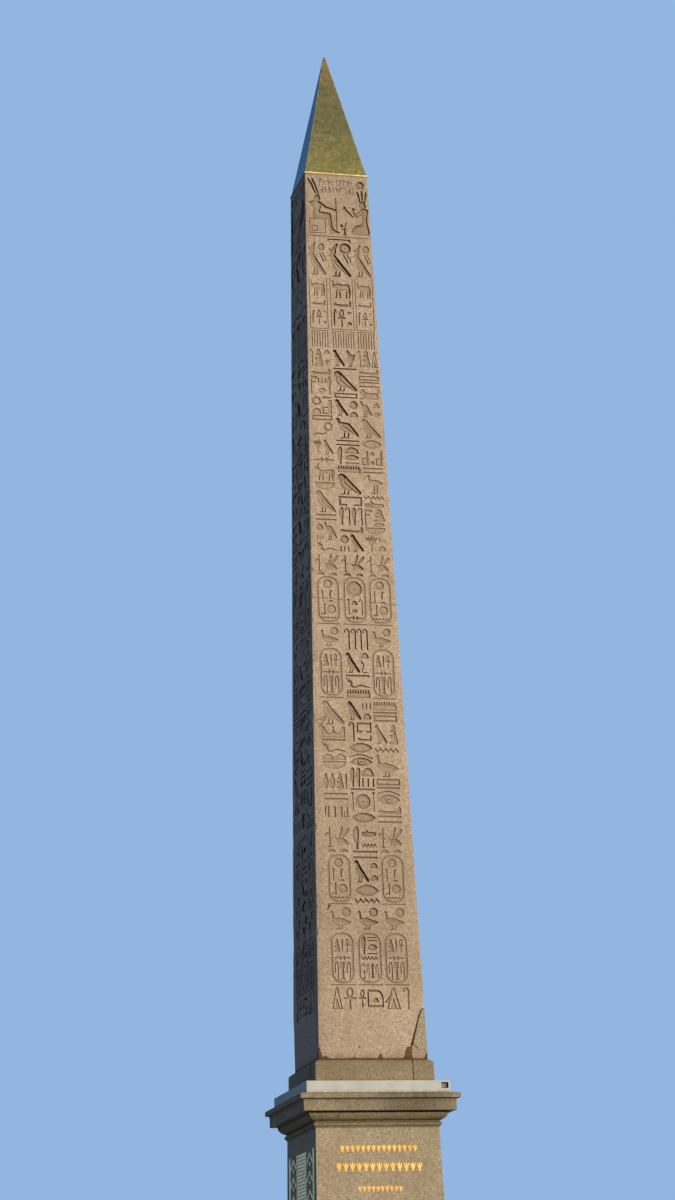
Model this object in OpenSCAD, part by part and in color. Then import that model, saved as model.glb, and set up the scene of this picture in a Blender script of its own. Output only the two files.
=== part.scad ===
// Tapering granite obelisk with a gilded cap, standing on a moulded granite pedestal.
// Millimetres, +Z up. The origin is at the centre of the foot, on the ground. Front faces -Y.

/* [Monolith] */
// Width of the shaft across its foot
shaft_foot_w = 2428; // [2000:2:2900]
// Width of the shaft across its top, under the cap
shaft_top_w = 1514; // [1300:2:1900]
// Height of the shaft from its foot to the cap
shaft_h = 20900; // [16000:100:24000]
// Height of the rough stone point inside the cap
point_h = 1940; // [1200:20:2400]
// Air between the stone point and the cap plates, measured level
point_gap = 40; // [20:5:90]
// Thickness of the mortar bed under the shaft
bed_t = 15; // [10:1:30]
// How far mortar lies back from the face of the stone
mortar_back = 6; // [3:1:20]

/* [Mended foot] */
// Height of the broken corner at the foot of the shaft
break_h = 1110; // [900:10:1500]
// Length of the broken corner along the front, measured at the foot
break_front = 524; // [420:4:620]
// Length of the broken corner along the right side, measured at the foot
break_side = 640; // [500:4:760]
// Thickness of the mortar joint round the fitted stone
joint_t = 14; // [8:1:30]
// Height of the chip at the front left corner, which is filled with mortar
chip_h = 290; // [200:5:400]
// Length of that chip along the foot
chip_l = 165; // [100:5:240]
// Height of the open chip at the back left corner
notch_h = 1500; // [1000:20:2000]
// Depth of the open chip at its deepest
notch_d = 160; // [80:5:240]

/* [Gilded cap] */
// Height at which the four faces of the cap would meet
cap_h = 3525; // [3000:5:4200]
// Width of the blunt top of the finial
cap_blunt_w = 36; // [20:2:80]
// Thickness of the gilded plates
plate_t = 10; // [6:1:16]
// Height of the solid finial at the top of the cap
finial_h = 430; // [300:10:700]
// Height of the rim that the plates stand on
rim_h = 48; // [30:2:90]
// How far the rim stands out from the plates
rim_proud = 7; // [2:1:20]
// Clearance between the rim and the stone point inside it
rim_gap = 15; // [5:1:18]

/* [Step course] */
// How far the step course stands out from the shaft's foot, at its top edge
step_ledge = 96; // [40:2:200]
// How much further it stands out at its own foot
step_batter = 15; // [0:1:30]
// Height from the cornice to the top edge of the step course
step_edge_h = 676; // [500:2:800]
// Height of the sloped top of the step course
step_wash_h = 54; // [20:2:90]
// Width of the flat rim round the shaft's foot
step_seat = 26; // [4:2:36]
// Depth of each stone of the step course
step_stone_d = 460; // [360:5:600]

/* [Lamp casing] */
// Level room between the step course's foot and the casing's outside
casing_room = 263; // [220:1:330]
// Height of the casing
casing_h = 244; // [200:2:300]
// Thickness of the casing's sheet metal
sheet_t = 8; // [4:1:12]
// Width of the folded foot of each panel
casing_foot = 40; // [25:1:60]
// Clearance between the lids and the step course
lid_gap = 4; // [2:1:12]
// Width of the window in front of each lamp
window_w = 156; // [100:2:190]
// Height of the window in front of each lamp
window_h = 128; // [80:2:150]
// Distance from the casing's end to the middle of the window
window_in = 122; // [116:2:220]
// Height from the casing's foot to the middle of the window
window_up = 139; // [110:1:150]

/* [Lamps] */
// Width of the lamp body
lamp_w = 130; // [90:2:180]
// Height of the lamp body
lamp_h = 110; // [70:2:120]
// Depth of the lamp body
lamp_d = 120; // [80:2:150]
// Distance from the casing sheet to the lamp's rim
lamp_back = 34; // [10:2:60]

/* [Cornice] */
// How far the top fillet stands out from the casing
casing_ledge = 177; // [120:1:240]
// Height of the top fillet
fillet_h = 104; // [70:2:140]
// Rise of the sloped top between the fillet's edge and the casing
wash_h = 34; // [10:2:60]
// How far the top fillet stands out from the hollow under it
fillet_lip = 32; // [15:1:60]
// Radius of the hollow under the top fillet
hollow_r = 50; // [30:2:70]
// Height of the flat face below the hollow
corona_h = 206; // [150:2:260]
// Depth of the soffit under that flat face
soffit_d = 143; // [80:1:200]
// Radius of the big quarter round
ovolo_r = 190; // [166:2:230]
// How far the big quarter round stands out from the neck
ovolo_out = 158; // [120:2:160]
// Height of the neck between the quarter round and the bead
quirk_h = 25; // [15:1:50]
// Radius of the half round bead
bead_r = 45; // [30:1:55]
// How far the bead stands out from the neck
bead_out = 37; // [20:1:45]
// Height of the neck below the bead
neck_h = 20; // [10:1:40]
// How far the neck stands out from the die
neck_out = 16; // [4:1:30]

/* [Die] */
// Width that the die gains going down, per metre
die_batter = 44; // [20:1:70]
// Height of the die
die_h = 5000; // [4000:50:6000]

/* [Base] */
// How far the fillet under the die stands out from it
foot_fillet_out = 40; // [20:2:60]
// Height of that fillet
foot_fillet_h = 46; // [20:2:60]
// Radius of the base moulding's hollow
scotia_r = 190; // [140:5:220]
// Height of the flat band under the hollow
band_h = 40; // [20:2:60]
// How far the half round stands out from that band
torus_out = 164; // [90:2:200]
// Height of the half round
torus_h = 180; // [120:4:220]
// How far the plinth stands out from the half round
plinth_ledge = 30; // [10:2:80]
// Height of the plinth
plinth_h = 500; // [350:10:700]
// How far the socle stands out from the plinth
socle_ledge = 300; // [150:10:400]
// Height of the socle
socle_h = 1000; // [700:20:1300]
// Height of the sloped edge on top of the socle
socle_wash = 60; // [20:5:70]
// How far the ground course stands out from the socle
ground_ledge = 400; // [150:10:500]
// Height of the ground course
ground_h = 450; // [300:10:600]
// Height of the sloped edge on top of the ground course
ground_wash = 40; // [10:5:70]
// Depth of each stone of the ground course
ground_stone_d = 1150; // [900:10:1400]

/* [Hidden] */
$fn = 96;

// Levels, from the ground up
socle_z = ground_h;
plinth_z = socle_z + socle_h;
base_z = plinth_z + plinth_h;
base_h = torus_h + band_h + scotia_r + foot_fillet_h;
die_z = base_z + base_h;
cornice_z = die_z + die_h;
bead_z = cornice_z + neck_h;
ovolo_z = bead_z + 2 * bead_r + quirk_h;
corona_z = ovolo_z + ovolo_r;
hollow_z = corona_z + corona_h;
fillet_z = hollow_z + hollow_r;
cornice_top = fillet_z + fillet_h + wash_h;
step_top = cornice_top + step_edge_h + step_wash_h;
shaft_z = step_top + bed_t;
cap_z = shaft_z + shaft_h;

// Widths, from the shaft's foot down
step_w = shaft_foot_w + 2 * step_ledge;
step_foot_w = step_w + 2 * step_batter;
casing_w = step_foot_w + 2 * casing_room;
fillet_w = casing_w + 2 * casing_ledge;
corona_w = fillet_w - 2 * (fillet_lip + hollow_r);
ovolo_w = corona_w - 2 * soffit_d;
neck_w = ovolo_w - 2 * ovolo_out;
bead_w = neck_w + 2 * bead_out;
die_top_w = neck_w - 2 * neck_out;
die_foot_w = die_top_w + die_batter * die_h / 1000;
base_top_w = die_foot_w + 2 * foot_fillet_out;
band_w = base_top_w + 2 * scotia_r;
torus_w = band_w + 2 * torus_out;
plinth_w = torus_w + 2 * plinth_ledge;
socle_w = plinth_w + 2 * socle_ledge;
ground_w = socle_w + 2 * ground_ledge;

// Slopes and places that follow
cap_slope = shaft_top_w / 2 / cap_h;
plate_level_t = plate_t * sqrt(1 + cap_slope * cap_slope);
point_half = shaft_top_w / 2 - plate_level_t - point_gap;
finial_z = cap_h - finial_h;
finial_top_z = cap_h - cap_blunt_w / 2 / cap_slope;
casing_y = -casing_w / 2;
window_x = casing_w / 2 - window_in;

// Lines that breaks draw up a face: shares of the length along the foot and of the height
break_line = [
  [1, 0], [0.96, 0.16], [0.86, 0.24], [0.67, 0.26], [0.56, 0.42],
  [0.42, 0.66], [0.33, 0.8], [0.2, 0.97], [0, 1]
];
fitted_line = [
  [0.64, 0], [0.7, 0.12], [0.67, 0.26], [0.56, 0.42],
  [0.42, 0.66], [0.33, 0.8], [0.2, 0.97], [0, 1]
];
chip_line = [[1, 0], [0.62, 0.1], [0.4, 0.45], [0, 1]];
notch_line = [[1, 0], [0.75, 0.3], [0.55, 0.6], [0.2, 0.8], [0, 1]];

// How far cutting shapes reach past what they cut
over = 50;

granite = [0.66, 0.58, 0.45];
pink_granite = [0.72, 0.60, 0.48];
cream_paint = [0.82, 0.79, 0.69];
red_mortar = [0.52, 0.34, 0.22];
gilding = [0.72, 0.58, 0.24];

// Shared forms

// A point outline [half width, height], closed by its mirror image
module full_outline(half) {
  polygon(concat(half, [for (i = [len(half) - 1 : -1 : 0]) [-half[i][0], half[i][1]]]));
}

// A centred rectangle of the outline plane, from one height to another
module level_band(w, z, h) {
  translate([-w / 2, z]) square([w, h]);
}

// Stands a flat outline upright and mitres it round a square plan
module square_plan(w) {
  intersection() {
    rotate([90, 0, 0]) linear_extrude(w + 2 * over, center = true) children();
    rotate([90, 0, 90]) linear_extrude(w + 2 * over, center = true) children();
  }
}

// Room of one stone out of four that turn round a square core, at quarter turn q
module turning_room(w, d, z, h, q) {
  rotate(90 * q) translate([-w / 2 - over, -w / 2 - over, z]) cube([w - d + over, d + over, h]);
}

// Room of the square core inside four such stones
module core_room(w, d, z, h) {
  c = w - 2 * d;
  translate([-c / 2, -c / 2, z]) cube([c, c, h]);
}

// A wedge of plan at quarter turn q, which mitres one side from its neighbours
module side_room(w, z, h, q) {
  rotate(90 * q) translate([0, 0, z])
    linear_extrude(h) polygon([[0, 0], [-w, -w], [w, -w]]);
}

// Base

module ground_outline() {
  full_outline([
    [ground_w / 2, 0],
    [ground_w / 2, ground_h - ground_wash],
    [ground_w / 2 - 2 * ground_wash, ground_h]
  ]);
}

module ground_core() {
  color(granite) core_room(ground_w, ground_stone_d, 0, ground_h);
}

module ground_stone(q) {
  color(granite) intersection() {
    square_plan(ground_w) ground_outline();
    turning_room(ground_w, ground_stone_d, 0, ground_h, q);
  }
}

module socle_outline() {
  full_outline([
    [socle_w / 2, socle_z],
    [socle_w / 2, plinth_z - socle_wash],
    [socle_w / 2 - 2 * socle_wash, plinth_z]
  ]);
}

// One of the four corner blocks of the socle
module socle_block(q) {
  color(granite) intersection() {
    square_plan(socle_w) socle_outline();
    rotate(90 * q) translate([-socle_w, -socle_w, socle_z]) cube([socle_w, socle_w, socle_h]);
  }
}

module plinth() {
  color(granite) translate([-plinth_w / 2, -plinth_w / 2, plinth_z]) cube([plinth_w, plinth_w, plinth_h]);
}

// Half round, flat band, hollow and fillet, from the plinth up to the die
module base_outline() {
  torus_r = torus_h / 2;
  level_band(torus_w - torus_h, base_z, torus_h);
  for (s = [-1, 1]) translate([s * (torus_w / 2 - torus_r), base_z + torus_r]) circle(torus_r);
  level_band(band_w, base_z + torus_h, band_h);
  difference() {
    level_band(band_w, base_z + torus_h + band_h, scotia_r);
    for (s = [-1, 1]) translate([s * band_w / 2, die_z - foot_fillet_h]) circle(scotia_r);
  }
  level_band(base_top_w, die_z - foot_fillet_h, foot_fillet_h);
}

module base_moulding() {
  color(granite) square_plan(plinth_w) base_outline();
}

module die() {
  color(granite) square_plan(die_foot_w)
    full_outline([[die_foot_w / 2, die_z], [die_top_w / 2, cornice_z]]);
}

// Cornice

// Neck, bead, quarter round, flat face, hollow and top fillet, as one block
module cornice_outline() {
  level_band(neck_w, cornice_z, ovolo_z - cornice_z);
  for (s = [-1, 1]) translate([s * (bead_w / 2 - bead_r), bead_z + bead_r]) circle(bead_r);
  intersection() {
    union() {
      level_band(ovolo_w - 2 * ovolo_r, ovolo_z, ovolo_r);
      for (s = [-1, 1]) translate([s * (ovolo_w / 2 - ovolo_r), corona_z]) circle(ovolo_r);
    }
    level_band(ovolo_w, ovolo_z, ovolo_r);
  }
  level_band(neck_w, ovolo_z, ovolo_r);
  level_band(corona_w, corona_z, corona_h);
  difference() {
    level_band(corona_w + 2 * hollow_r, hollow_z, hollow_r);
    for (s = [-1, 1]) translate([s * (corona_w / 2 + hollow_r), hollow_z]) circle(hollow_r);
  }
  full_outline([
    [fillet_w / 2, fillet_z],
    [fillet_w / 2, fillet_z + fillet_h],
    [casing_w / 2, cornice_top]
  ]);
}

module cornice() {
  color(granite) square_plan(fillet_w) cornice_outline();
}

// Step course

module step_outline() {
  full_outline([
    [step_foot_w / 2, cornice_top],
    [step_w / 2, cornice_top + step_edge_h],
    [shaft_foot_w / 2 + step_seat, step_top]
  ]);
}

module step_core() {
  color(granite) core_room(step_w, step_stone_d, cornice_top, step_top - cornice_top);
}

module step_stone(q) {
  color(granite) intersection() {
    square_plan(step_foot_w) step_outline();
    turning_room(step_w, step_stone_d, cornice_top, step_top - cornice_top, q);
  }
}

// Lamp casing

// Upright sheet with a folded foot that rests on the cornice, as seen from its end
module panel_outline() {
  translate([casing_y, cornice_top]) square([sheet_t, casing_h - sheet_t]);
  translate([casing_y, cornice_top]) square([casing_foot, sheet_t]);
}

module casing_panel(q, window) {
  color(cream_paint) difference() {
    intersection() {
      rotate([0, 0, 90 * q]) rotate([90, 0, 90])
        linear_extrude(casing_w, center = true) panel_outline();
      side_room(casing_w, cornice_top, casing_h, q);
    }
    if (window) rotate(90 * q)
      translate([window_x - window_w / 2, casing_y - over, cornice_top + window_up - window_h / 2])
        cube([window_w, 2 * over, window_h]);
  }
}

module casing_lid(q) {
  inner = step_foot_w / 2 + lid_gap;
  color(cream_paint) intersection() {
    rotate(90 * q) translate([-casing_w / 2, casing_y, cornice_top + casing_h - sheet_t])
      cube([casing_w, casing_w / 2 - inner, sheet_t]);
    side_room(casing_w, cornice_top, casing_h, q);
  }
}

// Round-cornered lamp body with a bezel, on a bent foot that stands on the cornice
module lamp(q) {
  front_y = casing_y + sheet_t + lamp_back;
  mid_z = cornice_top + window_up;
  bezel = 8;
  foot_w = lamp_w / 3;
  color("dimgray") rotate(90 * q) translate([window_x, front_y, mid_z]) {
    difference() {
      rotate([-90, 0, 0]) linear_extrude(lamp_d) lamp_outline(lamp_w, lamp_h);
      translate([0, -over, 0]) rotate([-90, 0, 0])
        linear_extrude(over + 2 * bezel) lamp_outline(lamp_w - 2 * bezel, lamp_h - 2 * bezel);
    }
    translate([-foot_w / 2, lamp_d / 2 - foot_w / 2, cornice_top - mid_z])
      cube([foot_w, foot_w, mid_z - cornice_top - lamp_h / 2 + bezel]);
  }
}

module lamp_outline(w, h) {
  r = min(w, h) / 6;
  square([w - 2 * r, h], center = true);
  square([w, h - 2 * r], center = true);
  for (x = [-1, 1], y = [-1, 1]) translate([x * (w / 2 - r), y * (h / 2 - r)]) circle(r);
}

// Monolith

module shaft_outline(back = 0) {
  full_outline([
    [shaft_foot_w / 2 - back, shaft_z],
    [shaft_top_w / 2 - back, cap_z]
  ]);
}

// The stone point keeps its distance from the cap's plates all the way up
module point_outline() {
  full_outline([
    [point_half, cap_z - over], [point_half, cap_z], [point_half - cap_slope * point_h, cap_z + point_h]
  ]);
}

// A corner room: what lies outside one line on the front or back face and, at the same
// time, outside another line on a side face
module corner_room() {
  intersection() {
    rotate([90, 0, 0]) linear_extrude(shaft_foot_w + 2 * over, center = true) children(0);
    rotate([90, 0, 90]) linear_extrude(shaft_foot_w + 2 * over, center = true) children(1);
  }
}

// What lies to the right of a line up a face. The line's points are shares of the length
// along the foot, from the corner inwards, and of the height above the foot
module beside_line(line, length, h, back = 0) {
  edge = shaft_foot_w / 2;
  polygon(concat(
    [[edge + over, shaft_z - over], [edge + back - length * line[0][0], shaft_z - over]],
    [for (p = line) [edge + back - length * p[0], shaft_z + h * p[1] - back]],
    [[edge + over, shaft_z + h - back]]
  ));
}

module break_room() {
  corner_room() {
    beside_line(break_line, break_front, break_h);
    mirror([1, 0]) beside_line(break_line, break_side, break_h);
  }
}

module fitted_room() {
  corner_room() {
    beside_line(fitted_line, break_front, break_h, joint_t);
    mirror([1, 0]) beside_line(fitted_line, break_side, break_h, joint_t);
  }
}

module chip_room() {
  corner_room() {
    mirror([1, 0]) beside_line(chip_line, chip_l, chip_h);
    mirror([1, 0]) beside_line(chip_line, chip_l, chip_h);
  }
}

module notch_room() {
  corner_room() {
    mirror([1, 0]) beside_line(notch_line, notch_d, notch_h);
    beside_line(notch_line, notch_d, notch_h);
  }
}

module monolith() {
  color(pink_granite) difference() {
    union() {
      square_plan(shaft_foot_w) shaft_outline();
      square_plan(shaft_top_w) point_outline();
    }
    break_room();
    chip_room();
    notch_room();
  }
}

module fitted_stone() {
  color(pink_granite) intersection() {
    square_plan(shaft_foot_w) shaft_outline();
    fitted_room();
  }
}

// Mortar round the fitted stone, wider at the foot of the front
module joint_mortar() {
  color(red_mortar) difference() {
    intersection() {
      square_plan(shaft_foot_w) shaft_outline(mortar_back);
      break_room();
    }
    fitted_room();
  }
}

module corner_mortar() {
  color(red_mortar) intersection() {
    square_plan(shaft_foot_w) shaft_outline(mortar_back);
    chip_room();
  }
}

module bed_mortar() {
  w = shaft_foot_w - 2 * mortar_back;
  color(red_mortar) translate([-w / 2, -w / 2, step_top]) cube([w, w, bed_t]);
}

// Gilded cap

// Half width of the cap's outer faces at a height above its foot
function cap_half(z) = cap_slope * (cap_h - z);

module cap_rim() {
  outer = shaft_top_w / 2 + rim_proud;
  inner = point_half + rim_gap;
  color(gilding) difference() {
    translate([-outer, -outer, cap_z]) cube([2 * outer, 2 * outer, rim_h]);
    translate([-inner, -inner, cap_z - over]) cube([2 * inner, 2 * inner, rim_h + 2 * over]);
  }
}

module cap_plate(q) {
  color(gilding) intersection() {
    rotate(90 * q) rotate([90, 0, 90]) linear_extrude(shaft_top_w, center = true)
      polygon([
        [-cap_half(rim_h), cap_z + rim_h], [-cap_half(rim_h) + plate_level_t, cap_z + rim_h],
        [-cap_half(finial_z) + plate_level_t, cap_z + finial_z], [-cap_half(finial_z), cap_z + finial_z]
      ]);
    side_room(shaft_top_w, cap_z, cap_h, q);
  }
}

module cap_finial() {
  color(gilding) square_plan(shaft_top_w)
    full_outline([[cap_half(finial_z), cap_z + finial_z], [cap_blunt_w / 2, cap_z + finial_top_z]]);
}

ground_core();
ground_stone(0);  // ground_stone_front
ground_stone(1);  // ground_stone_right
ground_stone(2);  // ground_stone_back
ground_stone(3);  // ground_stone_left
socle_block(0);  // socle_front_left
socle_block(1);  // socle_front_right
socle_block(2);  // socle_back_right
socle_block(3);  // socle_back_left
plinth();
base_moulding();
die();
cornice();
step_core();
step_stone(0);  // step_stone_front
step_stone(1);  // step_stone_right
step_stone(2);  // step_stone_back
step_stone(3);  // step_stone_left
casing_panel(0, true);  // casing_front
casing_panel(1, false);  // casing_right
casing_panel(2, true);  // casing_back
casing_panel(3, false);  // casing_left
casing_lid(0);  // casing_lid_front
casing_lid(1);  // casing_lid_right
casing_lid(2);  // casing_lid_back
casing_lid(3);  // casing_lid_left
lamp(0);  // lamp_front
lamp(2);  // lamp_back
bed_mortar();
monolith();
fitted_stone();
joint_mortar();
corner_mortar();
cap_rim();
cap_plate(0);  // cap_plate_front
cap_plate(1);  // cap_plate_right
cap_plate(2);  // cap_plate_back
cap_plate(3);  // cap_plate_left
cap_finial();
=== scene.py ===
import math
import random

import bmesh
import bpy
import numpy as np
from mathutils import Matrix, Vector
from mathutils.geometry import delaunay_2d_cdt


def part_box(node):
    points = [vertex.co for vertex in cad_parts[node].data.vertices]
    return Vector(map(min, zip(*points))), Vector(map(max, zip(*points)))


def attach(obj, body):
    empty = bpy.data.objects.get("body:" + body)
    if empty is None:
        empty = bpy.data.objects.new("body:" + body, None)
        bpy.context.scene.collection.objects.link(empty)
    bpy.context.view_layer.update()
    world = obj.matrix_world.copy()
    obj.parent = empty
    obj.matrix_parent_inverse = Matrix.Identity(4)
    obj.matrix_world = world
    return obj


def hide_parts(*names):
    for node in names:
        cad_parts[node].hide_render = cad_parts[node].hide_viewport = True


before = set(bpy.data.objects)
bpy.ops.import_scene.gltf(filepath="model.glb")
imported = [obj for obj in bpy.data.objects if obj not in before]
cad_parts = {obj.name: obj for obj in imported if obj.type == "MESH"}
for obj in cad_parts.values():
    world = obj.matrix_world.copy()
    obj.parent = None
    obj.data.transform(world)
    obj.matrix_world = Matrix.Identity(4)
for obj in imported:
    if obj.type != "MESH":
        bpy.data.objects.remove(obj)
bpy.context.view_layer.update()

# Sizes in metres, most of them from the frame
FOOT_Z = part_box("monolith")[0].z
CAP_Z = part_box("cap_rim")[0].z
FOOT_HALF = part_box("monolith")[1].x
RIM_PROUD = 0.007
TOP_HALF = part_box("cap_rim")[1].x - RIM_PROUD
SHAFT_H = CAP_Z - FOOT_Z
POINT_HALF = 0.707
POINT_H = 1.94
POINT_TOP_HALF = 0.29
CASING_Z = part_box("casing_front")[0].z
CASING_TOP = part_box("casing_lid_front")[1].z
CASING_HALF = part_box("casing_front")[1].x
CORONA_Z = CASING_Z - 0.4
CORNICE_HALF = 1.76
DIE_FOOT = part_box("die")[0].z
DIE_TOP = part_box("die")[1].z
DIE_FOOT_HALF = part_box("die")[1].x
DIE_TOP_HALF = 1.366
STEP_FOOT_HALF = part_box("step_stone_right")[1].x
STEP_TOP_HALF = 1.31
SOCLE_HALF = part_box("socle_front_right")[1].x
LAMP_BODY_H = 0.11


def half_width(v):
    """Half the shaft's width at a height above its foot."""
    return FOOT_HALF + (TOP_HALF - FOOT_HALF) * v / SHAFT_H


# Colours and materials

def paint(r, g, b):
    """A colour given as the three numbers from 0 to 255 that a screen shows."""
    shares = (c / 255 for c in (r, g, b))
    return tuple(c / 12.92 if c < 0.04 else ((c + 0.055) / 1.055) ** 2.4 for c in shares) + (1.0,)


def shade(colour, strength):
    """A colour made darker or lighter."""
    return tuple(min(c * strength, 1.0) for c in colour[:3]) + (1.0,)


class Nodes:
    """A tree of nodes, with short ways to add to it."""

    def __init__(self, tree):
        self.tree = tree

    def put(self, socket, value):
        if isinstance(value, bpy.types.NodeSocket):
            self.tree.links.new(value, socket)
        else:
            socket.default_value = value

    def node(self, kind, inputs=None, **settings):
        """A new node, with a value or a link for each input that is named."""
        made = self.tree.nodes.new(kind)
        for key, value in settings.items():
            setattr(made, key, value)
        for key, value in (inputs or {}).items():
            self.put(made.inputs[key], value)
        return made

    def maths(self, operation, a, b):
        return self.node("ShaderNodeMath", {0: a, 1: b}, operation=operation).outputs[0]

    def seen(self):
        """1 for the camera, and for what metal and glass show."""
        path = self.node("ShaderNodeLightPath").outputs
        mirrored = self.maths("MAXIMUM", path["Is Glossy Ray"], path["Is Transmission Ray"])
        return self.maths("MAXIMUM", path["Is Camera Ray"], mirrored)


class Finish(Nodes):
    """A material made of nodes, with one Principled shader."""

    def __init__(self, name, roughness=0.8, metallic=0.0, specular=0.3):
        self.material = bpy.data.materials.new(name)
        self.material.use_nodes = True
        super().__init__(self.material.node_tree)
        self.shader = self.tree.nodes["Principled BSDF"].inputs
        self.put(self.shader["Roughness"], roughness)
        self.put(self.shader["Metallic"], metallic)
        self.put(self.shader["Specular IOR Level"], specular)
        self.place = self.node("ShaderNodeTexCoord").outputs["Object"]

    def scaled(self, x, y, z):
        """The place, stretched along the axes."""
        return self.node("ShaderNodeMapping", {"Vector": self.place, "Scale": (x, y, z)}).outputs["Vector"]

    def noise(self, scale, detail=3.0, roughness=0.5, vector=None):
        inputs = {"Vector": vector or self.place, "Scale": scale, "Detail": detail, "Roughness": roughness}
        return self.node("ShaderNodeTexNoise", inputs).outputs["Fac"]

    def grains(self, scale):
        """Random grey levels, one for each grain."""
        cells = self.node("ShaderNodeTexVoronoi", {"Vector": self.place, "Scale": scale})
        return self.node("ShaderNodeSeparateColor", {"Color": cells.outputs["Color"]}).outputs["Red"]

    def steps(self, fac, *stops):
        """Colours or greys along a value, as (position, colour) stops."""
        made = self.node("ShaderNodeValToRGB", {"Fac": fac})
        ramp = made.color_ramp
        while len(ramp.elements) < len(stops):
            ramp.elements.new(0.5)
        for element, (position, colour) in zip(ramp.elements, stops):
            element.position = position
            element.color = colour if isinstance(colour, tuple) else (colour, colour, colour, 1.0)
        return made.outputs["Color"]

    def mix(self, fac, a, b, blend="MIX"):
        return self.node("ShaderNodeMix", {0: fac, 6: a, 7: b}, data_type="RGBA", blend_type=blend).outputs[2]

    def over(self, base, colour, mask, strength):
        """A colour laid over the base where the mask is 1."""
        return self.mix(self.maths("MULTIPLY", mask, strength), base, colour)

    def between(self, value, low, high):
        """0 below low, 1 above high, straight in between."""
        inputs = {"Value": value, "From Min": low, "From Max": high}
        return self.node("ShaderNodeMapRange", inputs).outputs["Result"]

    def axis(self, name):
        return self.node("ShaderNodeSeparateXYZ", {"Vector": self.place}).outputs[name]

    def height(self, low, high):
        """0 at one height and 1 at another."""
        return self.between(self.axis("Z"), low, high)

    def edges(self, radius):
        """1 on sharp edges, 0 on flat faces."""
        rounded_off = self.node("ShaderNodeBevel", {"Radius": radius}, samples=4).outputs["Normal"]
        plain = self.node("ShaderNodeNewGeometry").outputs["Normal"]
        turn = self.node("ShaderNodeVectorMath", {0: rounded_off, 1: plain}, operation="DOT_PRODUCT")
        return self.between(turn.outputs["Value"], 0.98, 0.8)

    def painted_hollow_shade(self, reach):
        """Painted shade: 1 deep in corners and narrow hollow places, 0 in the open."""
        open_sky = self.node("ShaderNodeAmbientOcclusion", {"Distance": reach}, samples=6)
        return self.between(open_sky.outputs["AO"], 0.92, 0.58)

    def colour(self, value):
        self.put(self.shader["Base Color"], value)

    def rough(self, value):
        self.put(self.shader["Roughness"], value)

    def bump(self, height, strength, distance):
        made = self.node("ShaderNodeBump", {"Strength": strength, "Distance": distance, "Height": height})
        self.put(self.shader["Normal"], made.outputs["Normal"])


def carved_stain_and_shade(f, base, stain):
    """Stain and painted shade in the carving, darker the deeper it is cut, a brown foot, and two bands of the
    shaft that are a little darker.
    """
    # The carving's depth: its floors get the stain's tone, as stain and painted shade
    deep = f.node("ShaderNodeAttribute", attribute_name="cut").outputs["Fac"]
    base = f.over(base, stain, deep, 0.42)
    uneven = f.maths("ADD", f.axis("Z"), f.maths("MULTIPLY", f.noise(4.0, 5.0, 0.7), 0.5))
    base = f.over(base, paint(122, 98, 66), f.between(uneven, FOOT_Z + 0.42, FOOT_Z + 0.2), 0.6)
    low_band = f.maths("MULTIPLY", f.height(FOOT_Z + 1.3, FOOT_Z + 2.3), f.height(FOOT_Z + 6.7, FOOT_Z + 4.3))
    bands = f.maths("ADD", low_band, f.height(FOOT_Z + 17.9, FOOT_Z + 20.4))
    return f.mix(bands, base, paint(240, 241, 239), "MULTIPLY")


def cornice_soot_and_shade(f, base, stain):
    """The flat courses are palest at the left end of the front, and darkest right of the middle, with soot.
    The mouldings under the corona are painted darker and yellower, as shade under its overhang.
    """
    across = f.between(f.axis("X"), -CORNICE_HALF, CORNICE_HALF)
    soot = f.steps(across, (0.1, 1.0), (0.36, 0.88), (0.56, 0.66), (0.7, 0.55), (0.84, 0.58), (0.97, 1.0))
    flat = f.height(CORONA_Z - 0.01, CORONA_Z + 0.01)
    # Painted shade: the mouldings under the corona made darker and yellower
    below = f.mix(1.0, base, (0.76, 0.74, 0.62, 1.0), "MULTIPLY")
    return f.mix(flat, below, f.mix(1.0, base, soot, "MULTIPLY"))


def stone(name, pale, mid, dark, stain, grime=0.3, wear_and_shade=None, edge=(0.012, 0.3, 1.1), hollow=0.1):
    """Speckled granite with crystals of two sizes, cloudy patches and rain streaks, and painted shade in
    corners and narrow hollow places.

    The edge is how far in a pale band runs along the edges, how strong it is and how pale: partly worn stone,
    partly painted highlight."""
    f = Finish(name, roughness=0.8, specular=0.1)
    crystals = f.grains(36)
    coarse = f.steps(crystals, (0.0, dark), (0.1, shade(mid, 0.86)), (0.5, mid), (0.8, pale),
                     (1.0, shade(pale, 1.15)))
    fine = f.steps(f.grains(88), (0.0, shade(dark, 0.7)), (0.14, mid), (0.7, pale), (1.0, mid))
    base = f.mix(0.4, coarse, fine)
    mottle = f.steps(f.noise(19, 3.0, 0.6), (0.34, 0.8), (0.52, 1.0), (0.68, 1.13))
    base = f.mix(0.85, base, mottle, "MULTIPLY")
    base = f.over(base, stain, f.between(f.noise(1.1, 5.0, 0.62), 0.42, 0.66), grime)
    streak = f.noise(1.0, 3.0, 0.6, f.scaled(7.0, 7.0, 0.35))
    base = f.over(base, stain, f.between(streak, 0.55, 0.8), grime)
    if wear_and_shade:
        base = wear_and_shade(f, base, stain)
    radius, strength, glow = edge
    # A pale band along the edges: worn stone and painted highlight
    base = f.over(base, shade(pale, glow), f.edges(radius), strength)
    # Painted shade, in the stain's dark tone, in corners and narrow hollow places
    f.colour(f.over(base, shade(stain, 0.36), f.painted_hollow_shade(hollow), 0.66))
    f.rough(f.steps(crystals, (0.0, 0.55), (0.3, 0.78), (1.0, 0.9)))
    f.bump(f.maths("ADD", f.noise(70, 3.0, 0.6), f.maths("MULTIPLY", f.noise(9, 2.0), 1.4)), 0.4, 0.006)
    return f.material


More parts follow.
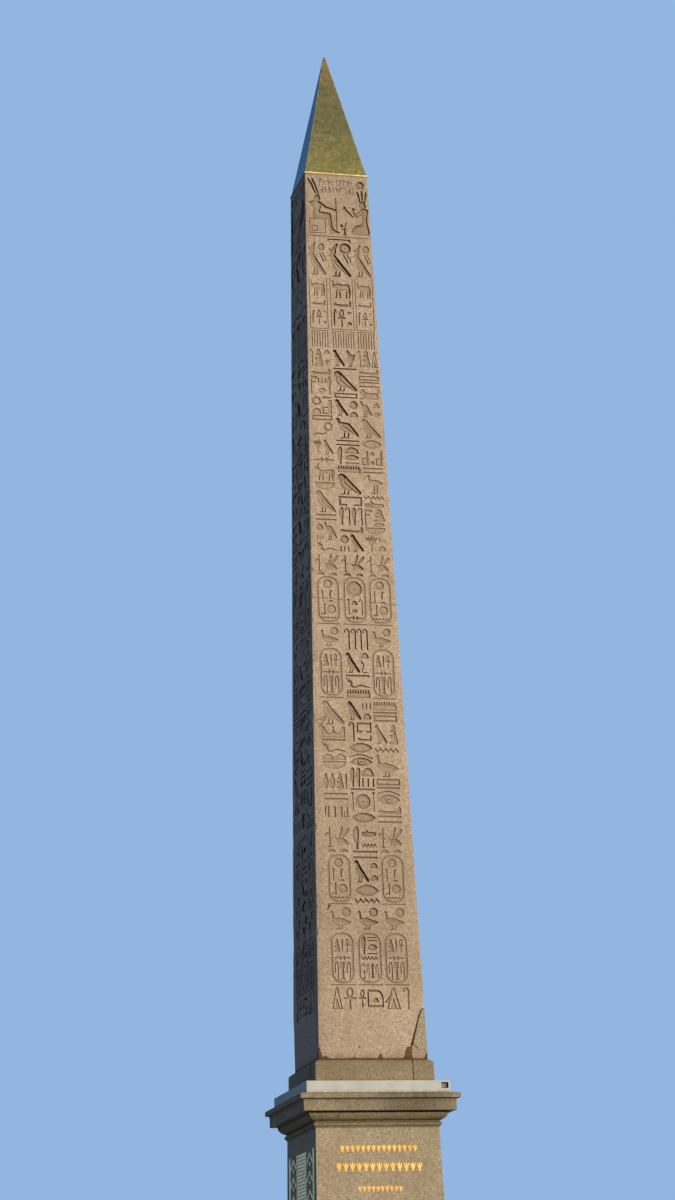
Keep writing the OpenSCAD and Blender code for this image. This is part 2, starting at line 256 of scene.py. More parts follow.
def mortar(name, low, mid, high):
    f = Finish(name, roughness=0.95, specular=0.15)
    tone = f.steps(f.noise(22, 4.0, 0.65), (0.3, low), (0.55, mid), (0.75, high))
    f.colour(f.mix(0.5, tone, f.steps(f.grains(160), (0.0, 0.72), (1.0, 1.1)), "MULTIPLY"))
    f.bump(f.noise(60, 5.0, 0.7), 0.8, 0.012)
    return f.material


def painted_sheet():
    f = Finish("cream_paint", roughness=0.65, specular=0.2)
    tone = f.steps(f.noise(2.3, 4.0, 0.6), (0.35, paint(184, 181, 166)), (0.65, paint(199, 196, 182)))
    drip = f.noise(1.0, 3.0, 0.6, f.scaled(9.0, 9.0, 1.2))
    tone = f.over(tone, paint(166, 158, 126), f.between(drip, 0.58, 0.8), 0.22)
    dust = f.between(f.noise(5.0, 3.0), 0.35, 0.8)
    f.colour(f.over(tone, paint(158, 148, 118), f.height(CASING_Z + 0.07, CASING_Z), dust))
    f.rough(f.steps(f.noise(8, 3.0), (0.3, 0.58), (0.7, 0.72)))
    f.bump(f.noise(3.0, 2.0), 0.25, 0.01)
    return f.material


def gilt_finish(name):
    f = Finish(name, roughness=0.3, metallic=1.0, specular=0.5)
    # Blue tint on the glancing reflections: a painted reflection of blue sky
    f.put(f.shader["Specular Tint"], paint(82, 148, 205))
    return f


def cap_gilding():
    """Leaf on metal plates: streaks down the slope, thin seams across, and bright flecks near the foot."""
    f = gilt_finish("cap_gilding")
    height = f.height(CAP_Z, CAP_Z + 3.4)
    base = f.steps(height, (0.0, paint(208, 164, 84)), (0.16, paint(198, 156, 82)),
                   (0.45, paint(178, 144, 79)), (0.75, paint(184, 144, 80)), (1.0, paint(226, 156, 80)))
    streaks = f.noise(1.0, 2.0, 0.6, f.scaled(32.0, 32.0, 0.8))
    seams = f.noise(1.0, 2.0, 0.5, f.scaled(1.2, 1.2, 26.0))
    patches = f.noise(7.0, 5.0, 0.7)
    marks = f.maths("ADD", f.maths("MULTIPLY", streaks, 0.45), f.maths("MULTIPLY", seams, 0.25))
    marks = f.maths("ADD", marks, f.maths("MULTIPLY", patches, 0.3))
    base = f.mix(1.0, base, f.steps(marks, (0.37, 0.74), (0.5, 1.0), (0.63, 1.2)), "MULTIPLY")
    flecks = f.between(f.noise(9.0, 3.0, 0.6), 0.57, 0.66)
    base = f.over(base, paint(252, 196, 92), flecks, f.between(height, 0.42, 0.02))
    # A pale gold band along the plates' edges, in patches: worn leaf and painted highlight
    f.colour(f.over(base, paint(255, 206, 104), f.edges(0.03), f.between(patches, 0.4, 0.6)))
    f.rough(f.steps(patches, (0.3, 0.2), (0.7, 0.3)))
    f.bump(f.maths("ADD", f.noise(14.0, 3.0), f.maths("MULTIPLY", streaks, 0.6)), 0.2, 0.006)
    return f.material


def rim_gilding():
    """A bright bead whose lower edge is painted dark, as shade under its lip."""
    f = gilt_finish("rim_gilding")
    tone = f.steps(f.noise(6.0, 4.0, 0.65), (0.36, paint(134, 114, 70)), (0.52, paint(160, 138, 86)),
                   (0.68, paint(196, 174, 120)))
    # The lower edge painted dark: painted shade
    f.colour(f.mix(f.height(CAP_Z + 0.026, CAP_Z + 0.016), tone, paint(104, 82, 46)))
    f.bump(f.noise(30.0, 2.0), 0.2, 0.003)
    return f.material


def ornament_gilding(name, metallic, low, mid, high, edge):
    """Gilding on stone, of another tone along its edges."""
    f = Finish(name, roughness=0.42, metallic=metallic, specular=0.4)
    tone = f.steps(f.noise(9.0, 4.0, 0.65), (0.36, low), (0.52, mid), (0.68, high))
    f.colour(f.over(tone, edge, f.edges(0.012), 0.8))
    f.bump(f.noise(60.0, 3.0), 0.2, 0.002)
    return f.material


def worn_metal(name, dark, pale):
    f = Finish(name, roughness=0.45, metallic=0.6, specular=0.5)
    f.colour(f.steps(f.noise(40, 4.0), (0.3, dark), (0.7, pale)))
    f.bump(f.noise(220, 2.0), 0.3, 0.001)
    return f.material


def lamp_glass():
    """Dusty glass, with a painted patch of light at the lower left of the front lamp."""
    low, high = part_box("lamp_front")
    f = Finish("lamp_glass", roughness=0.6, specular=0.2)
    tone = f.steps(f.noise(14, 2.0), (0.3, paint(84, 84, 78)), (0.7, paint(116, 112, 104)))
    left = f.between(f.axis("X"), high.x - 0.05, low.x)
    # A pale patch painted at the lower left: painted light
    f.colour(f.over(tone, paint(238, 218, 198), left, f.height(high.z, high.z - LAMP_BODY_H)))
    f.bump(f.noise(90, 1.0), 0.3, 0.002)
    return f.material


# The shaft's pale edge band is wider and stronger: worn stone and painted highlight
SHAFT_STONE = stone("pink_granite", paint(206, 182, 154), paint(187, 159, 130), paint(112, 94, 78),
                    paint(146, 120, 88), wear_and_shade=carved_stain_and_shade, edge=(0.018, 0.55, 1.22), hollow=0.07)
FITTED_STONE = stone("fitted_granite", paint(186, 166, 134), paint(166, 144, 114), paint(100, 86, 66),
                     paint(134, 112, 80))
DIE_STONE = stone("die_granite", paint(188, 170, 139), paint(167, 147, 117), paint(100, 88, 69),
                  paint(142, 122, 88))
BASE_STONE = stone("olive_granite", paint(170, 152, 121), paint(148, 129, 100), paint(94, 82, 63),
                   paint(118, 102, 70), 0.5)
CORNICE_STONE = stone("stained_granite", paint(178, 160, 128), paint(155, 137, 106), paint(88, 76, 57),
                      paint(92, 78, 56), 0.4, wear_and_shade=cornice_soot_and_shade)
MORTAR = mortar("red_brown_mortar", paint(80, 55, 38), paint(106, 72, 48), paint(132, 98, 70))
CORNER_MORTAR = mortar("orange_brown_mortar", paint(90, 62, 41), paint(118, 84, 56), paint(140, 104, 76))
SEAM_MORTAR = mortar("dark_seam_mortar", paint(56, 40, 34), paint(76, 54, 44), paint(98, 72, 56))
DARK_JOINT = mortar("dark_joint_mortar", paint(46, 40, 32), paint(62, 54, 43), paint(86, 76, 60))
PAINTED_SHEET = painted_sheet()
CAP_GOLD = cap_gilding()
RIM_GOLD = rim_gilding()
ROW_GOLD = ornament_gilding("row_gilding", 0.15, paint(236, 160, 30), paint(252, 188, 44),
                            paint(255, 212, 84), paint(214, 124, 22))
PANEL_GOLD = ornament_gilding("panel_gilding", 0.75, paint(192, 172, 112), paint(212, 192, 130),
                              paint(228, 212, 158), paint(180, 150, 86))
# Dark lamp metal, darkened further as painted shade in the lamp windows
DARK_METAL = worn_metal("dark_lamp_metal", paint(12, 12, 15), paint(26, 25, 28))
FIXING_METAL = worn_metal("dull_fixing_metal", paint(84, 74, 58), paint(112, 102, 82))
LAMP_GLASS = lamp_glass()

# The finish of the nodes whose names start so; all others are of BASE_STONE
NODE_FINISHES = {
    "cap_plate": CAP_GOLD, "cap_finial": CAP_GOLD, "cap_rim": RIM_GOLD, "monolith": SHAFT_STONE,
    "fitted_stone": FITTED_STONE, "joint_mortar": CORNER_MORTAR, "corner_mortar": CORNER_MORTAR,
    "bed_mortar": MORTAR, "casing": PAINTED_SHEET, "lamp": DARK_METAL, "die": DIE_STONE,
    "cornice": CORNICE_STONE,
}
for name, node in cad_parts.items():
    finish = next((m for start, m in NODE_FINISHES.items() if name.startswith(start)), BASE_STONE)
    node.data.materials.clear()
    node.data.materials.append(finish)


# Flat outlines, as lists of points

def arc(cx, cy, rx, ry, a0, a1, n=12):
    """Points of an elliptic arc, angles in degrees."""
    turns = [math.radians(a0 + i * (a1 - a0) / n) for i in range(n + 1)]
    return [(cx + rx * math.cos(t), cy + ry * math.sin(t)) for t in turns]


def disc(cx, cy, r, n=18):
    return arc(cx, cy, r, r, 0, 360, n)[:-1]


def block(x0, y0, x1, y1):
    return [(x0, y0), (x1, y0), (x1, y1), (x0, y1)]


def rounded(x0, x1, y0, y1, r):
    corners = ((x1 - r, y1 - r), (x0 + r, y1 - r), (x0 + r, y0 + r), (x1 - r, y0 + r))
    return [p for k, (x, y) in enumerate(corners) for p in arc(x, y, r, r, 90 * k, 90 * k + 90, 6)]


def bent(a, b, c, d, t):
    """A place on the way from b to c, on a curve that comes from a and goes on to d."""
    return 0.5 * (2 * b + (c - a) * t + (2 * a - 5 * b + 4 * c - d) * t**2 + (3 * b - a - 3 * c + d) * t**3)


def smooth(points, n=3, closed=True):
    """A curve through the points, with n spans from each to the next."""
    out = []
    count = len(points)
    for i in range(count if closed else count - 1):
        if closed:
            near = [points[(i + k) % count] for k in (-1, 0, 1, 2)]
        else:
            near = [points[min(max(i + k, 0), count - 1)] for k in (-1, 0, 1, 2)]
        out += [tuple(bent(*four, j / n) for four in zip(*near)) for j in range(n)]
    if not closed:
        out.append(points[-1])
    return out


def line(points, width):
    """A band along the points, as one outline. The width is one number, or one at each end."""
    w0, w1 = width if isinstance(width, tuple) else (width, width)
    left, right = [], []
    last = len(points) - 1
    for i, (x, y) in enumerate(points):
        x0, y0 = points[max(i - 1, 0)]
        x1, y1 = points[min(i + 1, last)]
        reach = (w0 + (w1 - w0) * i / last) / 2 / math.hypot(x1 - x0, y1 - y0)
        left.append((x - (y1 - y0) * reach, y + (x1 - x0) * reach))
        right.append((x + (y1 - y0) * reach, y - (x1 - x0) * reach))
    return left + right[::-1]


def leaf(x0, y0, x1, y1, width):
    """A leaf from one point to another, widest past its middle."""
    dx, dy = x1 - x0, y1 - y0
    length = math.hypot(dx, dy)
    nx, ny = -dy / length * width / 2, dx / length * width / 2
    spans = ((0.0, 0.25), (0.3, 0.7), (0.65, 1.0), (0.9, 0.7), (1.0, 0.2))
    side = [(x0 + dx * s + nx * k, y0 + dy * s + ny * k) for s, k in spans]
    other = [(x0 + dx * s - nx * k, y0 + dy * s - ny * k) for s, k in spans]
    return side + other[::-1]


def jagged(a, b, count, jitter, order):
    """Points from one place to another that stray a little to either side."""
    points = [(a[0] + (b[0] - a[0]) * i / count, a[1] + (b[1] - a[1]) * i / count) for i in range(count + 1)]
    return [(x + order.uniform(-jitter, jitter), y + order.uniform(-jitter, jitter)) for x, y in points]


def span(points):
    """The least and greatest x, then the least and greatest y."""
    xs, ys = zip(*points)
    return min(xs), max(xs), min(ys), max(ys)


# Signs. Each is a list of (level, outline) in a cell one wide, later ones over earlier ones:
# level 1 is the floor of the carving, 2 is cut deeper into it, 0 is left standing, 3 is a shallow line
# everywhere, and 4 stands up a little from the floor. Birds have 5 and 6 in place of 1 and 2.
# The helpers take coordinates in hundredths, as x, y, x, y and so on
STROKE = 0.075
FINE = 0.035
LEG_W = 0.06


def dots(*numbers):
    return [(x / 100, y / 100) for x, y in zip(numbers[::2], numbers[1::2])]


def curve(n, *numbers):
    """An open curve, with n spans from each point to the next."""
    return smooth(dots(*numbers), n, False)


def flat(level, *numbers):
    """A shape with straight sides."""
    return level, dots(*numbers)


def blob(level, *numbers):
    """A shape with a smooth outline."""
    return level, smooth(dots(*numbers), 2)


def stroke(level, width, *numbers):
    return level, line(dots(*numbers), width)


def bend(level, width, *numbers):
    """A stroke along a smooth curve."""
    return level, line(curve(3, *numbers), width)


def box(level, x0, y0, x1, y1):
    return level, block(x0 / 100, y0 / 100, x1 / 100, y1 / 100)


def dot(level, x, y, r, n):
    return level, disc(x / 100, y / 100, r / 100, n)


def sun(r=0.34, x=0.0, y=0.0):
    return [(1, disc(x, y, r)), (4, disc(x, y, r * 0.56, 16)), (1, disc(x, y, r * 0.14, 6))]


def almond(rx, start, n, below, above):
    """Two arcs that meet at their ends. Each is the height of its middle, and its own half height."""
    (y0, r0), (y1, r1) = below, above
    return arc(0, y0, rx, r0, start, 180 - start, n) + arc(0, y1, rx, r1, 180 + start, 360 - start, n)[1:-1]


def bay(x):
    """The edge of a bay between two hills, without its ends."""
    return arc(x, 0.24, 0.165, 0.26, 0, -180, 8)[1:-1]


def water():
    zigzag = [(-0.46 + 0.92 * i / 9, 0.06 * (-1) ** i) for i in range(10)]
    return [(1, [(x, y + 0.045) for x, y in zigzag] + [(x, y - 0.045) for x, y in zigzag[::-1]])]


def star():
    turns = [(math.radians(90 + 36 * i), (0.4, 0.13)[i % 2]) for i in range(10)]
    return [(1, [(r * math.cos(t), r * math.sin(t)) for t, r in turns])]


def crook(x=0):
    hook = curve(3, x, 20, x, 38, x - 7, 47, x - 16, 42, x - 15, 30)
    return (1, line(dots(x, -48) + hook, 0.06))


def foot(x, top, toe):
    """A bird's leg, with the length of its toe."""
    return stroke(1, LEG_W, x, top, x - 2, -46, x - 2 - toe, -49)


def crowned_falcon(r):
    """A tall falcon with a crown, and a disc with hanging cobras behind it."""
    body = (curve(3, -48, 20, -42, 33, -30, 36, -16, 22) + dots(10, -16, 50, -74, 46, -84, 36, -80)
            + curve(2, 20, -62, 2, -52, -14, -54, -28, -40, -37, -12, -38, 12))
    return sun(r, 0.25, 0.62) + [
        (1, body), blob(1, -38, 34, -32, 62, -12, 86, -4, 80, -14, 58, -16, 30),
        stroke(1, 0.05, -34, 40, -47, 60),
        bend(1, 0.06, 18, 38, 20, 20, 30, 4, 36, -16), bend(1, 0.05, 34, 38, 36, 22, 46, 10, 48, -10),
        stroke(2, FINE, -24, 10, -14, -16, 12, -42, 38, -74), stroke(2, FINE, -10, 4, 8, -22, 42, -66),
        stroke(1, 0.07, -18, -46, -20, -80, -34, -84), stroke(1, 0.07, -2, -46, -3, -80, -16, -84)]


def moved(shapes, dx, dy, kx=1.0, ky=1.0):
    """Shapes scaled, then shifted."""
    return [(level, [(x * kx + dx, y * ky + dy) for x, y in outline]) for level, outline in shapes]


SIGNS = {
    "sun": sun(),
    "orb": sun(),
    "ring": [dot(1, 0, 0, 30, 18), dot(0, 0, 0, 17, 14)],
    "loaf": [(1, arc(0, 0, 0.25, 0.25, 0, 180, 10))],
    "mouth": [(1, almond(0.55, 30, 10, (-0.3, 0.42), (0.12, 0.42))),
              (4, almond(0.4, 35, 8, (-0.24, 0.27), (0.06, 0.27)))],
    "water": water(),
    "reed": [blob(1, -2, -28, -11, 10, -6, 44, 5, 50, 10, 30, 6, -28), stroke(1, STROKE, 2, -25, 2, -50)],
    "basket": [(1, arc(0, 0.14, 0.47, 0.32, 180, 360, 16))],
    "arm": [blob(1, -47, 2, -34, 8, -20, 4, 33, 5, 38, 20, 46, 20, 46, -6, 10, -7, -25, -5, -40, -4)],
    "falcon": [
        (1, curve(3, -48, 34, -42, 45, -30, 49, -17, 43, -10, 30) + dots(14, 2, 49, -38, 46, -48, 34, -47)
         + curve(2, 22, -34, 8, -28, -10, -28, -26, -16, -36, 4, -37, 20, -34, 30, -40, 31)),
        stroke(2, FINE, -22, 22, -10, -2, 14, -22, 36, -42), stroke(2, FINE, -8, 14, 12, -6, 40, -34),
        dot(2, -33, 39, 3.5, 6), foot(-15, -22, 13), foot(0, -24, 12)],
    "owl": [
        (1, curve(3, -38, 20, -46, 34, -38, 47, -24, 49, -12, 40) + dots(14, 6, 49, -36, 44, -48, 34, -46)
         + curve(2, 18, -32, 0, -28, -20, -26, -34, -8, -37, 12)),
        dot(2, -29, 34, 15, 14), dot(1, -29, 34, 11, 12), dot(2, -34, 36, 3, 6), dot(2, -24, 36, 3, 6),
        stroke(2, FINE, -18, 12, 8, -14, 34, -38), foot(-18, -22, 13), foot(-3, -24, 10)],
    "vulture": [
        blob(1, -45, 33, -38, 44, -28, 40, -26, 26, -12, 24, 10, 20, 26, -2, 46, -32, 38, -40, 14, -20,
             -6, -22, -22, -12, -32, 6, -36, 26),
        stroke(2, FINE, -16, 12, 4, -2, 30, -26), foot(-10, -18, 14), foot(6, -18, 12)],
    "chick": [
        blob(1, -36, 26, -28, 38, -14, 36, -8, 22, 14, 14, 36, 18, 26, 0, 20, -18, 0, -26, -20, -16,
             -26, 6, -28, 20),
        stroke(2, FINE, -10, 8, 8, -4, 22, 6), foot(-6, -22, 13), foot(7, -22, 11)],
    "goose": [
        blob(1, -47, 32, -40, 40, -31, 36, -31, 20, -24, 6, -8, 10, 18, 2, 48, -10, 30, -20, 6, -28, -16, -26,
             -34, -12, -40, 6, -38, 26),
        stroke(2, FINE, -20, -2, 4, -6, 32, -12), stroke(1, 0.055, -8, -24, -10, -40, -22, -42),
        stroke(1, 0.055, 6, -26, 5, -40, -6, -42)],
    "ibis": [
        blob(1, -30, 36, -22, 42, -16, 34, -18, 20, -4, 18, 20, 16, 44, 0, 30, -4, 2, -6, -16, 0,
             -24, 14, -25, 28),
        bend(1, 0.045, -28, 36, -40, 28, -46, 12), foot(2, -4, 13), foot(16, -2, 12)],
    "hound": [
        blob(1, -48, 16, -40, 26, -26, 22, -16, 10, 12, 10, 40, 14, 44, 2, 36, -10, 10, -8, -16, -10,
             -26, 2, -36, 10),
        (1, leaf(-0.32, 0.2, -0.26, 0.4, 0.09)), bend(1, (0.07, 0.03), 40, 12, 49, 0, 48, -26)]
        + [stroke(1, (0.1, 0.05), x, -2, x + d, -42) for x, d in ((-20, -6), (-10, 6), (28, -4), (38, 5))],
    "ox": [
        blob(1, -49, 6, -42, 20, -30, 18, -18, 24, 10, 20, 36, 22, 46, 12, 44, -8, 14, -10, -14, -10,
             -26, 0, -38, 2),
        bend(1, 0.05, -36, 16, -46, 28, -40, 40), stroke(1, 0.035, 44, 14, 49, -5, 48, -28)]
        + [stroke(1, 0.08, x, -2, x + d, -40, x + d - 6, -41)
           for x, d in ((-22, -5), (-10, 4), (30, -3), (42, 2))],
    "lion": [
        blob(1, -46, 10, -40, 28, -26, 30, -16, 16, 14, 12, 38, 14, 46, -2, 42, -20, 10, -20, -20, -20,
             -46, -24, -46, -16, -28, -10, -38, 2),
        stroke(2, FINE, -24, 20, -20, -4, -30, -12), bend(1, 0.045, 42, 6, 49, 24, 40, 34)],
    "sitting": [
        blob(1, -30, 24, -10, 24, 6, 20, 16, -10, 22, -44, -12, -47, -42, -44, -42, -34, -22, -30,
             -34, -10, -40, -2, -30, 2, -16, -2, -14, 12, -34, 14),
        blob(1, -26, 36, -22, 47, -8, 50, 4, 42, 8, 24, -4, 20, -8, 26, -20, 27),
        stroke(2, FINE, -6, 12, 2, -30)],
    "ankh": [
        (1, smooth(dots(0, -2, -17, 20, -13, 42, 0, 48, 13, 42, 17, 20))),
        blob(0, 0, 8, -8, 22, -6, 35, 0, 39, 6, 35, 8, 22), box(1, -28, -4, 28, 5),
        flat(1, -4, 0, -6, -48, 6, -48, 4, 0)],
    "sceptre": [
        stroke(1, 0.06, 0, 40, 0, -40), flat(1, -14, 43, -5, 50, 7, 46, 3, 36, -3, 38),
        flat(1, 0, -38, -7, -50, -3, -50, 0, -45, 3, -50, 7, -50)],
    "crook": [crook()],
    "crooks": [crook(x) for x in (-30, -4, 20, 45)],
    "pillar": [box(1, -17, y, 17, y + 5) for y in (14, 23, 32, 41)] + [
        flat(1, -9, -40, 9, -40, 7, 46, -7, 46), box(1, -16, -48, 16, -40)],
    "bee": [stroke(1, 0.04, x, -22, x - 8, -42) for x in (-18, -4, 12)] + [
        blob(1, -34, -14, -22, -4, -6, -6, 12, -4, 34, -16, 48, -34, 30, -36, 6, -26, -16, -24),
        (1, leaf(-0.1, -0.08, 0.1, 0.52, 0.19)), (1, leaf(0.04, -0.08, 0.54, 0.42, 0.2)),
        stroke(2, 0.03, 12, -6, 8, -26), stroke(2, 0.03, 24, -12, 20, -30), stroke(1, FINE, -30, -8, -44, 6)],
    "sedge": [
        stroke(1, 0.055, 0, 46, 0, -48), bend(1, 0.045, 0, 12, -14, 20, -18, 6),
        stroke(1, 0.045, 1, -10, 12, -2), stroke(1, 0.05, -10, -47, 10, -47)],
    "eye": [
        (1, almond(0.5, 25, 10, (-0.2, 0.38), (0.16, 0.34))), dot(0, 0, 0, 10, 10), dot(2, 0, 0, 4, 8),
        bend(1, 0.05, -46, 20, 0, 30, 46, 14)],
    "leg": [blob(1, -10, 46, 10, 46, 8, 0, 10, -34, 8, -47, -40, -47, -38, -36, -8, -30, -6, 0)],
    "hand": [
        blob(1, -46, -10, -10, -12, 20, -10, 44, -6, 44, 8, 16, 10, -4, 12, -16, 22, -22, 20, -16, 10,
             -46, 10)]
        + [stroke(2, 0.025, -42, y, -8, y * 0.8) for y in (-5, 0, 5)],
    "hills": [
        (1, dots(-47, -20, 47, -20, 47, 24, 33, 24) + bay(0.165) + dots(5, 24, -5, 24) + bay(-0.165)
         + dots(-33, 24, -47, 24))],
    "house": [box(1, -44, -20, 44, 22), box(0, -35, -12, 35, 13), box(0, -12, -20, 12, -12)],
    "pool": [box(1, -47, -12, 47, 12), box(0, -40, -5, 40, 5)],
    "board": [box(1, -47, -14, 47, 8)] + [box(1, x, 8, x + 6, 18) for x in range(-44, 37, 10)],
    "bolt": [box(1, -47, -3, 47, 3), box(1, -16, -10, -6, 10), box(1, 6, -10, 16, 10)],
    "cloth": [bend(1, STROKE, 6, -46, 6, 30, 0, 46, -12, 44, -14, 30, -14, -10)],
    "viper": [
        bend(1, (0.11, 0.04), -38, 12, -24, 10, -24, -4, -10, -10, 12, -2, 46, -10),
        stroke(1, FINE, -36, 14, -42, 24), stroke(1, FINE, -31, 14, -31, 25)],
    "cobra": [
        bend(1, (0.15, 0.05), -28, 44, -30, 30, -12, 14, -16, -6, -30, -24, -16, -42, 10, -40, 42, -44)],
    "jar": [blob(1, -10, 40, 10, 40, 8, 26, 20, 6, 17, -24, 0, -42, -17, -24, -20, 6, -8, 26),
            box(2, -9, 28, 9, 31)],
    "flag": [box(1, -13, -48, -7, 48), box(1, -10, 30, 20, 46), box(1, -10, 12, 12, 20)],
    "star": star(),
    "strokes": [box(1, x - 4.5, -17, x + 4.5, 17) for x in (-30, 0, 30)],
    "seat": [flat(1, -24, -46, 30, -46, 30, 44, 12, 44, 12, 0, -24, 0), box(0, -16, -38, 6, -8)],
    "sky": [flat(1, -48, -10, -42, -10, -38, 0, 38, 0, 42, -10, 48, -10, 48, 9, -48, 9)],
    "bar": [box(1, -47, -4, 47, 4)],
    "bars": [box(1, -47, y - 3.5, 47, y + 3.5) for y in (-10, 10)],
    "point": [
        flat(1, -24, -46, 24, -46, 5, 46, -5, 46), flat(0, -17, -40, 17, -40, 2, 34, -2, 34),
        flat(1, -10, -40, 10, -40, 0, 6)],
    "lotus": [(1, leaf(x * 0.1, -0.08, x, 0.44 - abs(x) * 0.3, 0.13)) for x in (-0.36, -0.19, 0, 0.19, 0.36)]
             + [bend(1, 0.06, 0, -4, 3, -26, -2, -47)],
    "feather": [blob(1, -6, -47, -12, 0, -10, 34, 2, 48, 16, 42, 14, 28, 6, 34, 4, 0, 2, -47)],
    "shrine": [
        (1, dots(-44, -30, 44, -30, 44, 0) + arc(0.1, 0, 0.34, 0.34, 0, 100, 8) + dots(-40, 36, -44, 30)),
        (0, dots(-36, -22, 36, -22, 36, 0) + arc(0.1, 0, 0.26, 0.26, 0, 90, 6) + dots(-36, 26)),
        (1, arc(0.02, -0.12, 0.16, 0.18, 0, 180, 8))],
    "lasso": [dot(1, 20, 16, 20, 14), dot(0, 20, 16, 11, 12),
              bend(1, 0.06, 12, 0, 0, -16, -30, -14, -46, -24)],
    "crowned_falcon": crowned_falcon(0.19),
    "great_falcon": crowned_falcon(0.27),
}
SIGNS["goose_sun"] = moved(SIGNS["goose"], 0, -0.08) + sun(0.21, 0.26, 0.26)
SIGNS["sedge_bee"] = moved(SIGNS["sedge"], -0.4, 0) + moved(SIGNS["bee"], 0.14, 0, 0.72)
for name in ("falcon", "owl", "vulture", "crowned_falcon", "great_falcon"):
    SIGNS[name] = [({1: 5, 2: 6}.get(level, level), outline) for level, outline in SIGNS[name]]


# Layout of the carved faces. A face's own place is (u, v): across from its middle, and up from the foot

SHALLOW = 0.018
DEEPER = 1.35
LESS_DEEP = 0.6


class Face:
    """The shapes cut into one face, each as (depth, outline, swell)."""

    def __init__(self):
        self.shapes = []

    def cut(self, shapes, depth, swell=0.5, bird_depth=0.0):
        levels = (0.0, depth, depth * DEEPER, SHALLOW, depth * LESS_DEEP, bird_depth, bird_depth * DEEPER)
        for level, outline in shapes:
            self.shapes.append((levels[level], outline, swell * levels[level] if level in (1, 5) else 0.0))


ROUND_SIGNS = {"sun", "orb", "ring", "goose_sun"}
STRETCH = 1.45


def sign_span(name):
    return span([p for _, outline in SIGNS[name] for p in outline])


def fit(name, x0, x1, y0, y1):
    """A sign's shapes in a box, filled as well as its proportions allow."""
    stretch = 1.0 if name in ROUND_SIGNS else STRETCH
    a, b, c, d = sign_span(name)
    kx, ky = (x1 - x0) / (b - a), (y1 - y0) / (d - c)
    kx, ky = min(kx, ky * stretch), min(ky, kx * stretch)
    return moved(SIGNS[name], (x0 + x1) / 2 - (a + b) / 2 * kx, (y0 + y1) / 2 - (c + d) / 2 * ky, kx, ky)


def natural(name):
    """A sign's height for each unit of its width."""
    a, b, c, d = sign_span(name)
    return (d - c) / (b - a)


GAP = 0.03
# Heights for each unit of width: of most rows, the most for one sign alone, what counts as a low sign,
# and the most for a sign in a stack
TALL_ROW, LONE_SIGN, LOW_SIGN, STACKED_SIGN = 0.88, 1.1, 0.6, 2.5
# A stack's share of its row, and how far signs may be widened to fill a row
STACK_SHARE = 0.5
MOST_SPREAD = 1.3
# How high a row with one of these signs is, for each unit of its width
SET_HEIGHTS = {"sun": 0.95, "orb": 0.66}


def row_height(row, width):
    """How high a row wants to be. A row is names of signs, with + between those that are stacked."""
    names = row.split()
    if row in SET_HEIGHTS:
        return width * SET_HEIGHTS[row]
    if "+" in row:
        return width * TALL_ROW
    if len(names) == 1:
        return min(width * natural(row), width * LONE_SIGN)
    if all(natural(name) < LOW_SIGN for name in names):
        return width / len(names) * max(natural(name) for name in names)
    return width * TALL_ROW


def row_shapes(row, x0, x1, y0, y1):
    stacks = [stack.split("+") for stack in row.split()]
    room = x1 - x0 - GAP * (len(stacks) - 1)
    wants = [(y1 - y0) / natural(s[0]) if len(s) == 1 else room * STACK_SHARE for s in stacks]
    spread = min(room / sum(wants), MOST_SPREAD)
    spare = (room - spread * sum(wants)) / len(stacks)
    shapes = []
    x = x0
    for stack, want in zip(stacks, wants):
        width = want * spread
        left = x + spare / 2
        heights = [min(natural(name), STACKED_SIGN) for name in stack]
        share = (y1 - y0 - GAP * (len(stack) - 1)) / sum(heights)
        top = y1
        for name, height in zip(stack, heights):
            shapes += fit(name, left, left + width, top - height * share, top)
            top -= height * share + GAP
        x += width + spare + GAP
    return shapes


def column_shapes(rows, x0, x1, y0, y1):
    """Rows of signs from the top of a box to its foot."""
    heights = [row_height(row, x1 - x0) for row in rows]
    scale = (y1 - y0 - GAP * (len(rows) - 1)) / sum(heights)
    shapes = []
    top = y1
    for row, height in zip(rows, heights):
        shapes += row_shapes(row, x0, x1, top - height * scale, top)
        top -= height * scale + GAP
    return shapes


ROPE = 0.052
INSIDE_RING = 0.08
BASE_BAR = 0.03
LINE_GAP = 0.01


def cartouche(rows, x0, x1, y0, y1):
    """A rope ring with a base bar, and signs inside it."""
    low = y0 + BASE_BAR + LINE_GAP
    a, b = x0 + LINE_GAP, x1 - LINE_GAP
    corner = (b - a) * 0.42
    shapes = [(3, rounded(a, b, low, y1, corner)),
              (0, rounded(a + ROPE, b - ROPE, low + ROPE, y1 - ROPE, corner - ROPE)),
              (3, block(x0, y0, x1, y0 + BASE_BAR))]
    return shapes + column_shapes(rows, a + INSIDE_RING, b - INSIDE_RING, low + INSIDE_RING, y1 - INSIDE_RING)


NICHE_H = 0.46
NICHE_PITCH = 0.058
RULE = 0.018


def palace_front(rows, x0, x1, y0, y1):
    """A name panel: upright frame lines, signs, two rules, and a row of niches below."""
    shapes = [(3, block(x, y0 + NICHE_H, x + RULE, y1)) for x in (x0, x1 - RULE)]
    for low in (y0 + NICHE_H, y0 + NICHE_H - 3 * RULE):
        shapes.append((3, block(x0, low, x1, low + RULE)))
    count = round((x1 - x0) / NICHE_PITCH)
    pitch = (x1 - x0) / count
    for i in range(count):
        left = x0 + (i + 0.3) * pitch
        shapes.append((3, block(left, y0, left + pitch * 0.4, y0 + NICHE_H - 4 * RULE)))
    return shapes + column_shapes(rows, x0 + 0.05, x1 - 0.05, y0 + NICHE_H + 2.6 * RULE, y1 - 0.03)


COLUMN_OUTER, COLUMN_INNER, COLUMN_W = 0.875, 0.335, 0.54
MIDDLE_COLUMN = (-0.265, 0.285)
ARRIS_MARGIN = 0.045


